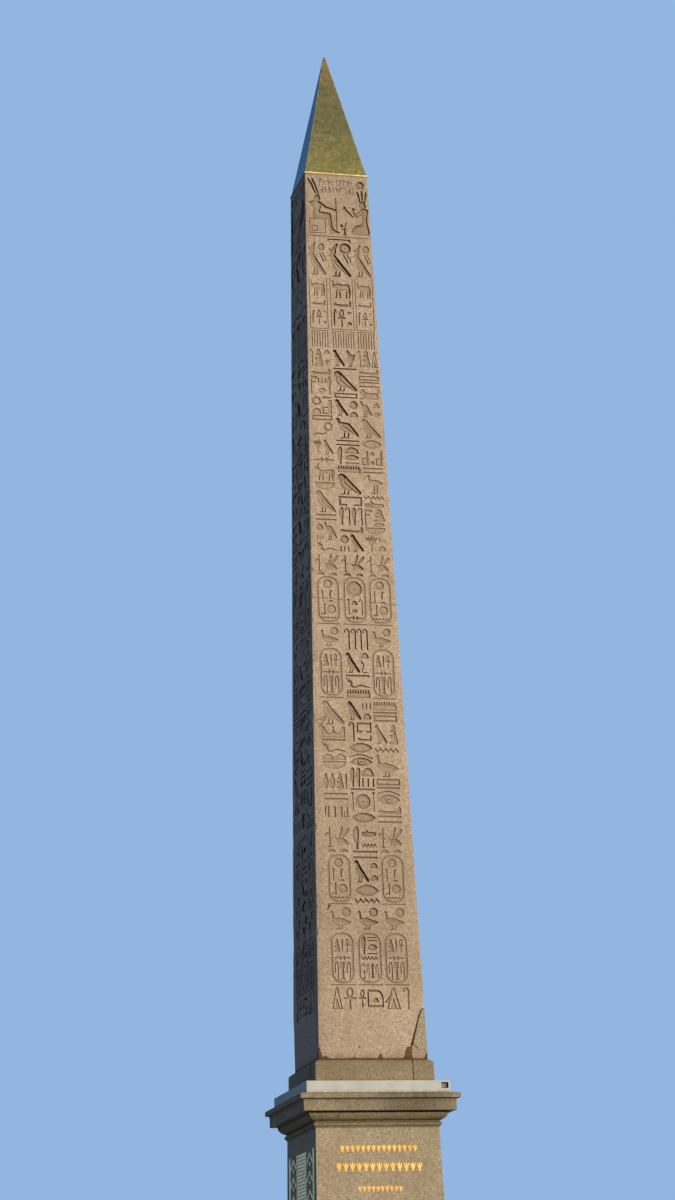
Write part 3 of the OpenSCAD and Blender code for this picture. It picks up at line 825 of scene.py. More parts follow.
def columns(v):
    """The edges of the columns at a height. They keep their width, but follow the arrises near the top."""
    outer = min(COLUMN_OUTER, half_width(v) - ARRIS_MARGIN)
    inner = outer - min(COLUMN_W, outer - COLUMN_INNER)
    return {"L": (-outer, -inner), "C": MIDDLE_COLUMN, "R": (inner, outer)}


# Depths of the side and middle columns, of the birds in them, and of the figures at the top
SIDE_DEPTH, SIDE_BIRDS = 0.024, 0.026
MIDDLE_DEPTH, MIDDLE_BIRDS = 0.038, 0.058
FIGURE_DEPTH = 0.042
# The rows of signs in each band of the front
FRONT_TEXT = {
    "names": ["ox", "arm", "feather ankh mouth+loaf"],
    "L": ["crook sitting loaf+star", "arm", "flag strokes+mouth reed", "ring+loaf hand+seat", "pool", "lasso",
          "lotus falcon", "bolt", "hound", "basket", "falcon", "bars", "orb+strokes vulture", "viper"],
    "C": ["falcon chick", "bar", "owl", "pool", "falcon orb+loaf", "vulture", "bars", "reed loaf+mouth+water",
          "board", "owl", "house", "reed crook reed crook", "arm", "orb+strokes falcon"],
    "R": ["crook sitting point", "arm", "pool", "bars", "lion", "vulture loaf+mouth", "falcon", "mouth",
          "seat loaf+loaf seat", "bars", "ibis", "water", "hand", "flag sitting+mouth", "basket",
          "lotus viper+loaf"],
    "ring mid": ["sun", "sceptre loaf+mouth crook", "bolt"],
    "ring high": ["orb", "sceptre feather+loaf", "leg orb", "water"],
    "ring low": ["sitting reed ankh", "bolt", "cloth pillar cloth"],
    "ring last": ["reed bars+mouth+bar", "water", "ring+leg cloth pillar cloth"],
    "C high": ["falcon loaf+cobra", "bar", "viper", "board"],
    "C low": ["reed hand+water", "bars", "falcon loaf+loaf", "mouth", "water"],
    "L mid": ["falcon", "hills", "bar", "viper", "loaf loaf", "basket", "jar jar sitting reed", "bars",
              "reed strokes seat"],
    "C mid": ["owl strokes+loaf", "crook house+arm", "mouth", "eye", "reed reed loaf+strokes", "bar",
              "sceptre sun sceptre", "mouth"],
    "R mid": ["board", "bar", "pool", "falcon sitting", "water", "goose", "pool", "bar", "eye", "arm",
              "bars"],
    "last L": ["point ankh"], "last C": ["ankh shrine"], "last R": ["point crook"],
}


def mixed(text, order):
    """The same rows in another order and in other columns."""
    out = dict(text)
    for names in (("L", "C", "R"), ("L mid", "C mid", "R mid")):
        rows = [row for name in names for row in text[name]]
        order.shuffle(rows)
        start = 0
        for name in names:
            out[name] = rows[start:start + len(text[name])]
            start += len(text[name])
    for name in ("C high", "C low", "names"):
        out[name] = order.sample(text[name], len(text[name]))
    return out


# The bands of a face, from the top: which columns, the top, the foot and what is in them
BANDS = [
    ("LR", 19.15, 18.3, "crowned_falcon"), ("C", 19.16, 18.28, "great_falcon"), ("LCR", 18.26, 16.5, "names"),
    ("L", 16.46, 11.52, "L"), ("C", 16.46, 11.52, "C"), ("R", 16.46, 11.52, "R"),
    ("LCR", 11.46, 11.04, "sedge_bee"), ("LCR", 11.01, 10.94, "loaf loaf"),
    ("LR", 10.92, 9.78, "ring high"), ("C", 10.92, 9.78, "ring mid"), ("LR", 9.72, 9.27, "goose_sun"),
    ("C", 9.7, 9.2, "crooks"), ("LR", 9.23, 8.06, "ring low"), ("C", 9.14, 8.08, "C high"),
    ("L", 8.0, 5.22, "L mid"), ("C", 8.0, 5.22, "C mid"), ("R", 8.0, 5.22, "R mid"),
    ("LR", 5.14, 4.66, "sedge_bee"), ("LR", 4.62, 4.55, "loaf loaf"), ("LR", 4.5, 3.38, "ring high"),
    ("C", 5.14, 3.4, "C low"), ("LCR", 3.32, 2.82, "goose_sun"), ("LR", 2.76, 1.6, "ring low"),
    ("C", 2.76, 1.6, "ring last"), ("L", 1.56, 1.08, "last L"), ("C", 1.56, 1.08, "last C"),
    ("R", 1.56, 1.08, "last R"),
]


def band_shapes(kind, text, *edges):
    """The shapes of one band. A kind that has no rows in the text is a row itself."""
    rows = text.get(kind, [kind])
    if kind.startswith("ring"):
        return cartouche(rows, *edges)
    if kind == "names":
        return palace_front(rows, *edges)
    return column_shapes(rows, *edges)


def oval(x, y, rx, ry):
    return (1, arc(x, y, rx, ry, 0, 360, 10)[:-1])


def seated_figure():
    """A calm seated figure with two tall plumes and a staff, on a block throne, in centimetres."""
    body = blob(1, -45, 2021, -40, 2018, -40, 2004, -43, 1995, -22, 1992, -16, 1986, -12, 1952, 3, 1945,
                3, 1941, -20, 1941, -25, 1974, -56, 1975, -61, 1984, -58, 1998, -62, 2008, -69, 2013,
                -68, 2019, -53, 2022)
    head = blob(1, -52, 2021, -44, 2022, -41, 2028, -43, 2035, -50, 2037, -56, 2032, -57, 2024)
    return [box(3, -70, 1938, -30, 1976), box(0, -68, 1940, -32, 1974), box(3, -65, 1943, -50, 1958),
            box(0, -63, 1945, -52, 1956), body, head,
            (1, leaf(-0.5, 20.36, -0.7, 20.8, 0.075)), (1, leaf(-0.44, 20.36, -0.6, 20.8, 0.075)),
            stroke(1, 0.065, -43, 2017, -28, 2005, -3, 1999),
            box(1, -4.5, 1947, -2.2, 2030), box(3, -72, 1930, 72, 1932.5)]


def kneeling_figure():
    """A calm kneeling figure with a tall crown under a disc, who holds out two jars."""
    body = blob(1, 56, 2006, 66, 2009, 75, 2004, 72, 1990, 72, 1970, 76, 1952, 74, 1940, 54, 1940,
                36, 1940, 31, 1946, 36, 1957, 52, 1964, 59, 1974, 58, 1992)
    head = blob(1, 56, 2009, 52, 2014, 54, 2021, 61, 2025, 68, 2020, 69, 2011)
    arms = [stroke(1, 0.05, 58, 2003, 37, 1985, 20, 2002), stroke(1, 0.04, 60, 1995, 46, 1984, 38, 1998)]
    crown = [(1, leaf(0.56, 20.23, 0.49, 20.52, 0.06)), (1, leaf(0.61, 20.24, 0.6, 20.55, 0.06)),
             (1, leaf(0.66, 20.22, 0.71, 20.52, 0.06)), box(1, 50, 2024, 70, 2026.5)]
    stand = [flat(1, 10, 1936, 20, 1936, 16, 1950, 14, 1950), box(1, 8, 1950, 22, 1953),
             oval(0.08, 19.6, 0.04, 0.05), stroke(1, 0.03, 15, 1953, 20, 1970)]
    thigh = bend(2, 0.035, 34, 1949, 42, 1960, 58, 1966)
    return arms + crown + stand + sun(0.1, 0.57, 20.68) + [
        body, head, thigh, oval(0.17, 20.06, 0.045, 0.05), oval(0.38, 20.04, 0.04, 0.045)]


SMALL_SIGNS = ["reed", "feather", "jar", "ankh", "sitting", "cloth", "leg", "flag", "chick", "seat", "crook",
               "pillar", "sceptre", "cobra"]
SMALL_W, SMALL_H, SMALL_PITCH = 0.082, 0.165, 0.096


def top_panel(face, order, flip):
    """Two figures under lines of small signs."""
    small = []
    for y in (20.62, 20.43):
        for i in range(9):
            x = -0.42 + SMALL_PITCH * i
            small += fit(order.choice(SMALL_SIGNS), x, x + SMALL_W, y, y + SMALL_H)
    face.cut(moved(small, 0, 0, flip), SHALLOW, 0.35)
    face.cut(moved(seated_figure() + kneeling_figure(), 0, 0, flip), FIGURE_DEPTH, 0.4)
    face.cut(fit("sky", -0.28, 0.28, 19.18, 19.26), FIGURE_DEPTH)


# A fine crack right across the front: its height at the left and right, its depth, and its three parts
CRACK_HEIGHTS = (10.42, 10.3)
CRACK_DEPTH = 0.024
CRACK_W = 0.013
CRACK_PARTS = {"L": (-1.0, -0.3), "C": (-0.3, 0.32), "R": (0.32, 1.0)}
PIT_COUNT = 40
PIT_DEPTH = 0.012
# Gashes in the front: the middle line, the width at each end and the depth
GASHES = [
    ([(-0.975, 7.45), (-0.84, 7.56), (-0.69, 7.7)], (0.2, 0.02), 0.03),
    ([(0.52, 4.19), (0.42, 4.14), (0.28, 4.0), (0.18, 3.91)], (0.05, 0.02), 0.02),
    ([(-0.84, 3.38), (-0.87, 3.32), (-0.9, 3.26)], (0.05, 0.03), 0.05),
    ([(-0.8, 2.86), (-0.86, 2.81), (-0.91, 2.78)], (0.012, 0.02), 0.015),
    ([(0.455, 1.42), (0.395, 1.33), (0.32, 1.22)], (0.018, 0.042), 0.04),
    ([(-0.33, 0.27), (-0.31, 0.265), (-0.29, 0.25)], (0.02, 0.03), 0.03),
]


def crack(face, names):
    """The parts of the front's crack that run through these columns."""
    left, right = CRACK_HEIGHTS
    for name in names:
        ends = [(u, (left + right) / 2 + (right - left) / 2 * u) for u in CRACK_PARTS[name]]
        path = jagged(*ends, 12, 0.008, random.Random(name))
        face.cut([(1, line(path, CRACK_W))], CRACK_DEPTH, 0)


def weathering(face, q):
    """Small pits, and on the front some gashes and the crack under the middle column's signs."""
    order = random.Random(90 + q)
    for _ in range(PIT_COUNT):
        v = order.uniform(0.15, SHAFT_H - 0.4)
        room = half_width(v) - 0.12
        u = order.uniform(-room, room)
        r = order.uniform(0.006, 0.016)
        pit = [(x + order.uniform(-0.3, 0.3) * r, y + order.uniform(-0.3, 0.3) * r)
               for x, y in disc(u, v, r, 7)]
        face.cut([(1, pit)], PIT_DEPTH, 0)
    if q == 0:
        crack(face, "C")
        for path, widths, depth in GASHES:
            face.cut([(1, line(path, widths))], depth, 0)


def face_layout(q):
    """All that is cut into face q: 0 front, 1 right, 2 back, 3 left."""
    face = Face()
    order = random.Random(11 + q)
    weathering(face, q)
    text = FRONT_TEXT if q == 0 else mixed(FRONT_TEXT, order)
    top_panel(face, order, (-1) ** q)
    for names, top, low, kind in BANDS:
        for name in names:
            x0, x1 = columns(top)[name]
            depth, birds = (MIDDLE_DEPTH, MIDDLE_BIRDS) if name == "C" else (SIDE_DEPTH, SIDE_BIRDS)
            face.cut(band_shapes(kind, text, x0, x1, low, top), depth, 0.5, birds)
    if q == 0:
        crack(face, "LR")
    return face


# Arrises: heights above the foot with how far the stone is worn back on the face before and after them

def along(points, v):
    """The value at v on a line of (value, height) points, read from the foot up."""
    for (a, h0), (b, h1) in zip(points, points[1:]):
        if h0 <= v <= h1:
            return a + (b - a) * (v - h0) / (h1 - h0)
    return points[-1][0]


BREAK_LINE = [(1, 0), (0.96, 0.16), (0.86, 0.24), (0.67, 0.26), (0.56, 0.42), (0.42, 0.66), (0.33, 0.8),
              (0.2, 0.97), (0, 1)]
CHIP_LINE = [(1, 0), (0.62, 0.1), (0.4, 0.45), (0, 1)]
NOTCH_LINE = [(1, 0), (0.75, 0.3), (0.55, 0.6), (0.2, 0.8), (0, 1)]
# The broken corners: the line, its height and its length on the face before and after the arris
CORNERS = {
    0: (BREAK_LINE, 1.11, 0.524, 0.64),
    3: (CHIP_LINE, 0.29, 0.165, 0.165),
    2: (NOTCH_LINE, 1.5, 0.16, 0.16),
}
# Worn and chipped stretches that the photo shows: middle height, half length and depth
KNOWN_CHIPS = {
    0: [(1.22, 0.3, 0.06), (2.3, 0.12, 0.018)],
    3: [(7.55, 0.2, 0.05), (3.35, 0.07, 0.03), (2.8, 0.09, 0.028), (5.1, 0.1, 0.02)],
    1: [], 2: [(2.9, 0.4, 0.05), (5.2, 0.25, 0.035)],
}
WORN = 0.009
CHIP_COUNT = 20


def arris_heights(chips, corner, order):
    heights = {0.0, SHAFT_H}
    v = 0.3
    while v < SHAFT_H - 0.2:
        heights.add(round(v, 3))
        v += order.uniform(0.25, 0.6)
    for middle, reach, _ in chips:
        for part in (-1, -0.55, -0.1, 0.4, 1):
            heights.add(round(min(max(middle + part * reach, 0.02), SHAFT_H - 0.02), 3))
    if corner:
        heights |= {round(s * corner[1], 4) for _, s in corner[0]}
    return sorted(heights)


def arris(k):
    """Rows of (height, worn back before, worn back after, how square the hollow is) from foot to top."""
    order = random.Random(40 + k)
    chips = KNOWN_CHIPS[k] + [
        (order.uniform(1.8, SHAFT_H - 0.4), order.uniform(0.03, 0.14), order.uniform(0.008, 0.026))
        for _ in range(CHIP_COUNT)]
    corner = CORNERS.get(k)
    rows = []
    for v in arris_heights(chips, corner, order):
        limit = max(min(0.07, half_width(v) - columns(v)["R"][1] - 0.012), WORN)
        worn = WORN + sum(depth * max(0.0, 1 - abs(v - middle) / reach) ** 0.7
                          for middle, reach, depth in chips)
        back = [min(worn * order.uniform(0.75, 1.2), limit) for _ in range(2)]
        square = 0.34 if worn < 2 * WORN else 0.5
        if corner and v <= corner[1]:
            outline, h, before, after = corner
            taper = FOOT_HALF - half_width(v)
            share = along([(s, t * h) for s, t in outline], v)
            deep = [before * share - taper, after * share - taper]
            if max(deep) > max(back):
                back, square = [max(d, 0.001) for d in deep], 1.0
        rows.append((v, back[0], back[1], square))
    return rows


# The shaft's mesh

def counter_clockwise(outline):
    area = sum(x0 * y1 - x1 * y0 for (x0, y0), (x1, y1) in zip(outline, outline[1:] + outline[:1]))
    return outline if area > 0 else outline[::-1]


def inside(points, outline):
    """Which of the points lie inside the outline."""
    x, y = points[:, 0], points[:, 1]
    found = np.zeros(len(points), bool)
    for (x0, y0), (x1, y1) in zip(outline, outline[1:] + outline[:1]):
        if y0 != y1:
            crossing = (y0 > y) != (y1 > y)
            found ^= crossing & (x < (x1 - x0) * (y - y0) / (y1 - y0) + x0)
    return found


def distance(points, outline):
    """Distance from each point to the outline."""
    least = np.full(len(points), 9.0)
    for a, b in zip(outline, outline[1:] + outline[:1]):
        a, b = np.array(a), np.array(b)
        side = b - a
        t = np.clip(((points - a) @ side) / max(side @ side, 1e-12), 0, 1)
        least = np.minimum(least, np.linalg.norm(points - a - t[:, None] * side, axis=1))
    return least


PITCH = 0.042
SWELL_REACH = 0.06


def swelling(outline, others):
    """Points inside an outline, with how far each rises from the floor, from 0 to 1."""
    x0, x1, y0, y1 = span(outline)
    if min(x1 - x0, y1 - y0) < 1.5 * PITCH:
        return []
    across = np.arange(x0 + PITCH / 2, x1, PITCH)
    up = np.arange(y0 + PITCH / 2, y1, PITCH)
    points = np.array([(x + (j % 2) * PITCH / 2, y) for j, y in enumerate(up) for x in across])
    points = points[inside(points, outline)]
    if not len(points):
        return []
    near = np.minimum.reduce([distance(points, o) for o in others])
    keep = near > PITCH * 0.38
    return [(tuple(p), min(1.0, d / SWELL_REACH)) for p, d in zip(points[keep], near[keep])]


class Mesh:
    """Points and polygons gathered by place, so that what touches is joined."""

    def __init__(self):
        self.points = []
        self.index = {}
        self.polygons = []
        self.cut = []

    def point(self, place, cut=0.0):
        key = tuple(round(c, 5) for c in place)
        if key not in self.index:
            self.index[key] = len(self.points)
            self.points.append(place)
            self.cut.append(cut)
        return self.index[key]

    def polygon(self, places):
        corners = [i for n, i in enumerate(places) if n == 0 or i != places[n - 1]]
        if len(corners) > 1 and corners[0] == corners[-1]:
            corners.pop()
        if len(set(corners)) > 2:
            self.polygons.append(corners)

    def tube(self, loops):
        """Sides from each loop of points to the next."""
        for one, two in zip(loops, loops[1:]):
            for i in range(len(one)):
                j = (i + 1) % len(one)
                self.polygon([one[i], one[j], two[j], two[i]])


def turned(q, x, y, z):
    """A place on the front, turned to side q."""
    for _ in range(q):
        x, y = -y, x
    return (x, y, z)


def on_face(q, u, v, depth):
    """The place in space of a point of face q."""
    return turned(q, u, -half_width(v) + depth, FOOT_Z + v)


def corner_place(k, v, back, other):
    """A point near arris k, so far back from it on the face before it and on the face after it."""
    return turned(k, half_width(v) - back, other - half_width(v), FOOT_Z + v)


def near_outlines(shapes, outline):
    """The outlines of all shapes whose boxes touch this one's."""
    x0, x1, y0, y1 = span(outline)
    found = []
    for _, other, _ in shapes:
        u0, u1, v0, v1 = span(other)
        if u0 < x1 and u1 > x0 and v0 < y1 and v1 > y0:
            found.append(other)
    return found


# Points nearer than this are joined
JOIN_WITHIN = 2e-5


def triangulate(shapes, field):
    """Triangles of a face that keep all outlines: its points, the triangles' corners, how far each point
    rises, and the outlines that each triangle is inside of."""
    points, loops, rises = list(field), [list(range(len(field)))], {}
    for _, outline, _ in shapes:
        loops.append(list(range(len(points), len(points) + len(outline))))
        points += counter_clockwise(outline)
    for _, outline, swell in shapes:
        if swell > 0:
            for place, rise in swelling(outline, near_outlines(shapes, outline)):
                rises[len(points)] = rise
                points.append(place)
    found, _, triangles, origins, _, inside_of = delaunay_2d_cdt(
        [Vector(p) for p in points], [], loops, 0, JOIN_WITHIN, True)
    rise_at = [max((rises.get(i, 0.0) for i in ids), default=0.0) if all(i in rises for i in ids) else 0.0
               for ids in origins]
    return found, triangles, rise_at, inside_of


def carve(mesh, q, left, right):
    """Triangles of one face: the floor of every shape pushed back, with upright walls round it."""
    shapes = face_layout(q).shapes
    found, triangles, rise_at, inside_of = triangulate(shapes, right + left[::-1])
    depths = [0.0] + [s[0] for s in shapes]
    swells = [0.0] + [s[2] for s in shapes]
    level, used, sides = {}, {}, {}
    for number, (corners, ids) in enumerate(zip(triangles, inside_of)):
        if 0 not in ids:
            continue
        top = max(ids)
        level[number] = {c: round(depths[top] - swells[top] * rise_at[c], 5) for c in corners}
        for c, depth in level[number].items():
            used.setdefault(c, set()).add(depth)
        for a, b in zip(corners, corners[1:] + corners[:1]):
            sides.setdefault(frozenset((a, b)), []).append(number)

    def place(c, depth):
        return mesh.point(on_face(q, *found[c], depth), min(depth / SIDE_DEPTH, 1.0))

    def between_depths(c, one, two):
        return [place(c, d) for d in sorted(used[c]) if min(one[c], two[c]) <= d <= max(one[c], two[c])]

    for number, at in level.items():
        mesh.polygon([place(c, at[c]) for c in triangles[number]])
    for side, owners in sides.items():
        if len(owners) < 2:
            continue
        (a, b), (one, two) = sorted(side), [level[n] for n in owners]
        if one[a] != two[a] or one[b] != two[b]:
            mesh.polygon(between_depths(a, one, two) + between_depths(b, one, two)[::-1])


def arris_lines(mesh, k, rows):
    """Three lines of points round an arris: before it, in the worn strip between, and after it."""
    lines = []
    for part in range(3):
        shares = [((1, 0), (square, square), (0, 1))[part] for _, _, _, square in rows]
        lines.append([mesh.point(corner_place(k, v, before * a, after * b))
                      for (v, before, after, _), (a, b) in zip(rows, shares)])
    return lines


def close_top(mesh, loop):
    """The top of the shaft, and the rough stone point that stands on it inside the cap."""
    square = ((1, -1), (1, 1), (-1, 1), (-1, -1))
    low = [mesh.point((x * POINT_HALF, y * POINT_HALF, CAP_Z)) for x, y in square]
    tip = [mesh.point((x * POINT_TOP_HALF, y * POINT_TOP_HALF, CAP_Z + POINT_H)) for x, y in square]
    for k in range(4):
        after, following = low[k], low[(k + 1) % 4]
        one, two, three = loop[3 * k:3 * k + 3]
        mesh.polygon([one, two, three, after])
        mesh.polygon([three, loop[(3 * k + 3) % 12], following, after])
        mesh.polygon([after, following, tip[(k + 1) % 4], tip[k]])
    mesh.polygon(tip)


def make_shaft():
    mesh = Mesh()
    arrises = [arris(k) for k in range(4)]
    for q in range(4):
        right = [(half_width(v) - before, v) for v, before, _, _ in arrises[q]]
        left = [(-half_width(v) + after, v) for v, _, after, _ in arrises[q - 1]]
        carve(mesh, q, left, right)
    low, top = [], []
    for k, rows in enumerate(arrises):
        lines = arris_lines(mesh, k, rows)
        for one, two in zip(lines, lines[1:]):
            for i in range(len(rows) - 1):
                mesh.polygon([one[i], two[i], two[i + 1], one[i + 1]])
        low += [points[0] for points in lines]
        top += [points[-1] for points in lines]
    mesh.polygon(low[::-1])
    close_top(mesh, top)
    return mesh


# Edges sharper than this aren't smoothed
SHARP = math.radians(35)


def to_object(name, points, polygons):
    data = bpy.data.meshes.new(name)
    data.from_pydata(points, [], polygons)
    data.validate()
    made = bpy.data.objects.new(name, data)
    bpy.context.scene.collection.objects.link(made)
    data.polygons.foreach_set("use_smooth", [True] * len(data.polygons))
    data.set_sharp_from_angle(angle=SHARP)
    return made


def facing_out(piece):
    """Turns all faces of a closed mesh outwards."""
    bpy.context.view_layer.objects.active = piece
    bpy.ops.object.select_all(action="DESELECT")
    piece.select_set(True)
    bpy.ops.object.mode_set(mode="EDIT")
    bpy.ops.mesh.select_all(action="SELECT")
    bpy.ops.mesh.normals_make_consistent(inside=False)
    bpy.ops.object.mode_set(mode="OBJECT")


def close_gaps(piece):
    """Fills the slits that are left where a carved form meets the worn strip of an arris."""
    form = bmesh.new()
    form.from_mesh(piece.data)
    bmesh.ops.holes_fill(form, edges=[edge for edge in form.edges if len(edge.link_faces) == 1], sides=0)
    form.to_mesh(piece.data)
    form.free()


def add_piece(name, mesh, finish):
    piece = to_object(name, mesh.points, mesh.polygons)
    piece.data.materials.append(finish)
    close_gaps(piece)
    facing_out(piece)
    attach(piece, "root")
    return piece


shaft_mesh = make_shaft()
shaft = add_piece("carved_shaft", shaft_mesh, SHAFT_STONE)
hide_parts("monolith")
# Each point's depth share, which the shaft's finish paints as stain and painted shade in the carving
cut_depth = shaft.data.attributes.new("cut", "FLOAT", "POINT")
cut_depth.data.foreach_set("value", shaft_mesh.cut)


# Low forms on flat faces

SUNK = 0.002


def battered_place(q, foot_z, foot_half, top_z, top_half):
    """Places on side q of a battered block: across, height, and how far out of the face."""
    def place(u, z, out):
        half = top_half + (foot_half - top_half) * (top_z - z) / (top_z - foot_z)
        return turned(q, u, -half - out, z)
    return place


def die_place(q):
    return battered_place(q, DIE_FOOT, DIE_FOOT_HALF, DIE_TOP, DIE_TOP_HALF)


def upright_place(q, half):
    """The same for an upright face at a distance from the middle."""
    return lambda u, z, out: turned(q, u, -half - out, z)


def shaft_place(q):
    """The same for a face of the shaft, with heights from its foot."""
    return lambda u, v, out: on_face(q, u, v, -out)


def raised(mesh, outline, place, height, slope):
    """A low closed form with sloping edges that stands out of a face."""
    outline = counter_clockwise(outline)
    u0, u1, z0, z1 = span(outline)
    mid_u, mid_z = (u0 + u1) / 2, (z0 + z1) / 2
    ku, kz = 1 - 2 * slope / (u1 - u0), 1 - 2 * slope / (z1 - z0)
    back = [mesh.point(place(u, z, -SUNK)) for u, z in outline]
    top = [mesh.point(place(mid_u + (u - mid_u) * ku, mid_z + (z - mid_z) * kz, height)) for u, z in outline]
    mesh.polygon(top)
    mesh.polygon(back[::-1])
    mesh.tube([back, top])


# Mortar along the shaft's foot, and in a crack of the fitted stone

# Thick spots in the front's mortar: place across, half width and height
THICK_MORTAR = [(0.16, 0.06, 0.17), (1.2, 0.08, 0.17), (-0.42, 0.1, 0.06), (-1.06, 0.11, 0.1),
                (0.72, 0.07, 0.12)]
MORTAR_PROUD = 0.005
MORTAR_SPANS = 96
NOTCH_W = 0.17
END_GAP = 0.012


def mortar_line(mesh, q):
    order = random.Random(70 + q)
    left = -FOOT_HALF + (NOTCH_W if q == 3 else END_GAP)
    right = FOOT_HALF - (NOTCH_W if q == 2 else END_GAP)
    rings = []
    for i in range(MORTAR_SPANS + 1):
        u = left + (right - left) * i / MORTAR_SPANS
        high = order.uniform(0.016, 0.04)
        if q == 0:
            high = max([high] + [h * (1 - abs(u - at) / half) for at, half, h in THICK_MORTAR])
        section = ((0.0, SUNK), (0.0, -MORTAR_PROUD), (high * 0.6, -MORTAR_PROUD), (high, SUNK))
        rings.append([mesh.point(on_face(q, u, v, depth)) for v, depth in section])
    mesh.tube(rings)
    mesh.polygon(rings[0])
    mesh.polygon(rings[-1][::-1])


SEAM_W = (0.05, 0.026)
FINE_CRACK_W = (0.014, 0.008)
LOW, SLOPE = 0.0015, 0.001


def break_seam(mesh, q, length, side):
    """The dark mortar along the upper joint of the fitted stone, on one face."""
    height = CORNERS[0][1]
    order = random.Random(40 + q)
    corners = [(side * (FOOT_HALF - length * share), height * part) for share, part in BREAK_LINE[3:-1]]
    path = corners[:1]
    for one, two in zip(corners, corners[1:]):
        path += jagged(one, two, 4, 0.004, order)[1:-1] + [two]
    raised(mesh, line(path, SEAM_W), shaft_place(q), LOW, SLOPE)


def mortar_smears():
    mesh = Mesh()
    for q in range(4):
        mortar_line(mesh, q)
    add_piece("mortar_smears", mesh, MORTAR)
    seam = Mesh()
    break_seam(seam, 0, CORNERS[0][2], 1)
    break_seam(seam, 1, CORNERS[0][3], -1)
    fine_crack = line(jagged((0.88, 0.37), (1.04, 0.18), 7, 0.006, random.Random(5)), FINE_CRACK_W)
    raised(seam, fine_crack, shaft_place(0), 0.004, SLOPE)
    add_piece("fitted_stone_seam", seam, SEAM_MORTAR)


# Upright joints between the stones of a course: a stone that ends at the joint, the half widths of the
# course at its foot and top, and the joint's place across
COURSE_JOINTS = [
    ("step_stone_front", STEP_FOOT_HALF, STEP_TOP_HALF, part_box("step_stone_front")[1].x),
    ("socle_front_left", SOCLE_HALF, SOCLE_HALF, 0.0),
]
JOINT_W = 0.02


def course_joints():
    mesh = Mesh()
    for q in range(4):
        order = random.Random(60 + q)
        for node, foot_half, top_half, across in COURSE_JOINTS:
            low, high = (corner.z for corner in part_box(node))
            path = jagged((across, low + END_GAP), (across, high - END_GAP), 9, 0.002, order)
            raised(mesh, line(path, JOINT_W), battered_place(q, low, foot_half, high, top_half), LOW, SLOPE)
    add_piece("course_joints", mesh, DARK_JOINT)


# Gilding on the die

# Rows on the front and back: foot, height, half length and number of palmettes
ORNAMENT_ROWS = [(6.887, 0.15, 0.86, 15), (6.476, 0.19, 0.96, 13), (6.044, 0.13, 0.5, 10)]
GILT_PROUD = 0.004
GILT_SLOPE = 0.003


def ornament_row(mesh, place, low, height, half, count):
    """Palmettes of three leaves over a short bar, side by side."""
    pitch = 2 * half / count
    for i in range(count):
        u = -half + (i + 0.5) * pitch
        stem = low + height * 0.1
        shapes = [leaf(u, stem, u, low + height, pitch * 0.22),
                  block(u - pitch * 0.2, low, u + pitch * 0.2, low + height * 0.12)]
        shapes += [leaf(u + s * pitch * 0.04, stem, u + s * pitch * 0.37, low + height * 0.9, pitch * 0.17)
                   for s in (-1, 1)]
        for outline in shapes:
            raised(mesh, outline, place, GILT_PROUD, GILT_SLOPE)


PANEL_TOP, PANEL_FOOT = 7.0, 3.1
# Upright bars: place across and width
PANEL_BARS = [(-1.12, 0.12), (-0.42, 0.07), (0.42, 0.07), (1.12, 0.12)]
RUNG_HALF, RUNG_H, RUNG_STEP = 0.37, 0.062, 0.075
CHEVRON_AT, CHEVRON_HALF, CHEVRON_W, CHEVRON_STEP = 0.78, 0.25, 0.065, 0.39


def gilded_panel(mesh, place):
    """Plain bars, a middle band of rungs, and two columns of chevrons."""
    shapes = [block(u - w / 2, PANEL_FOOT, u + w / 2, PANEL_TOP) for u, w in PANEL_BARS]
    for i in range(int((PANEL_TOP - PANEL_FOOT) / RUNG_STEP)):
        z = PANEL_FOOT + i * RUNG_STEP
        shapes.append(block(-RUNG_HALF, z, RUNG_HALF, z + RUNG_H))
    for i in range(int((PANEL_TOP - PANEL_FOOT) / CHEVRON_STEP)):
        z = PANEL_FOOT + (i + 0.3) * CHEVRON_STEP
        for u in (-CHEVRON_AT, CHEVRON_AT):
            shapes.append(line([(u - CHEVRON_HALF, z), (u, z + 0.2), (u + CHEVRON_HALF, z)], CHEVRON_W))
            shapes.append(disc(u, z - 0.03, 0.045, 12))
    for outline in shapes:
        raised(mesh, outline, place, GILT_PROUD, GILT_SLOPE)


def die_gilding():
    rows, panels = Mesh(), Mesh()
    for q in (0, 2):
        for row in ORNAMENT_ROWS:
            ornament_row(rows, die_place(q), *row)
        gilded_panel(panels, die_place(q + 1))
    add_piece("gilded_leaf_rows", rows, ROW_GOLD)
    add_piece("gilded_side_panels", panels, PANEL_GOLD)


# Small parts of the casing and its lamps

FIRST_FIXING = -1.547
FIXING_STEP = 0.2885
FIXINGS = 11
FIXING_R = 0.011
FIXING_PROUD = 0.004
SEAM_AT = 1.355
LENS_IN = 0.01
BEZEL_DEPTH = 0.016
RIB_HALF = 0.005
RIBS = 6


def casing_parts():
    fixings, seams = Mesh(), Mesh()
    for q in range(4):
        place = upright_place(q, CASING_HALF)
        for i in range(FIXINGS):
            screw = disc(FIRST_FIXING + i * FIXING_STEP, CASING_Z + 0.03, FIXING_R, 10)
            raised(fixings, screw, place, FIXING_PROUD, FIXING_PROUD)
        if q in (0, 2):
            strip = block(SEAM_AT - 0.02, CASING_Z + 0.004, SEAM_AT + 0.02, CASING_TOP - 0.01)
            raised(seams, strip, place, 0.003, 0.001)
    add_piece("casing_fixings", fixings, FIXING_METAL)
    add_piece("casing_seam_strips", seams, PAINTED_SHEET)


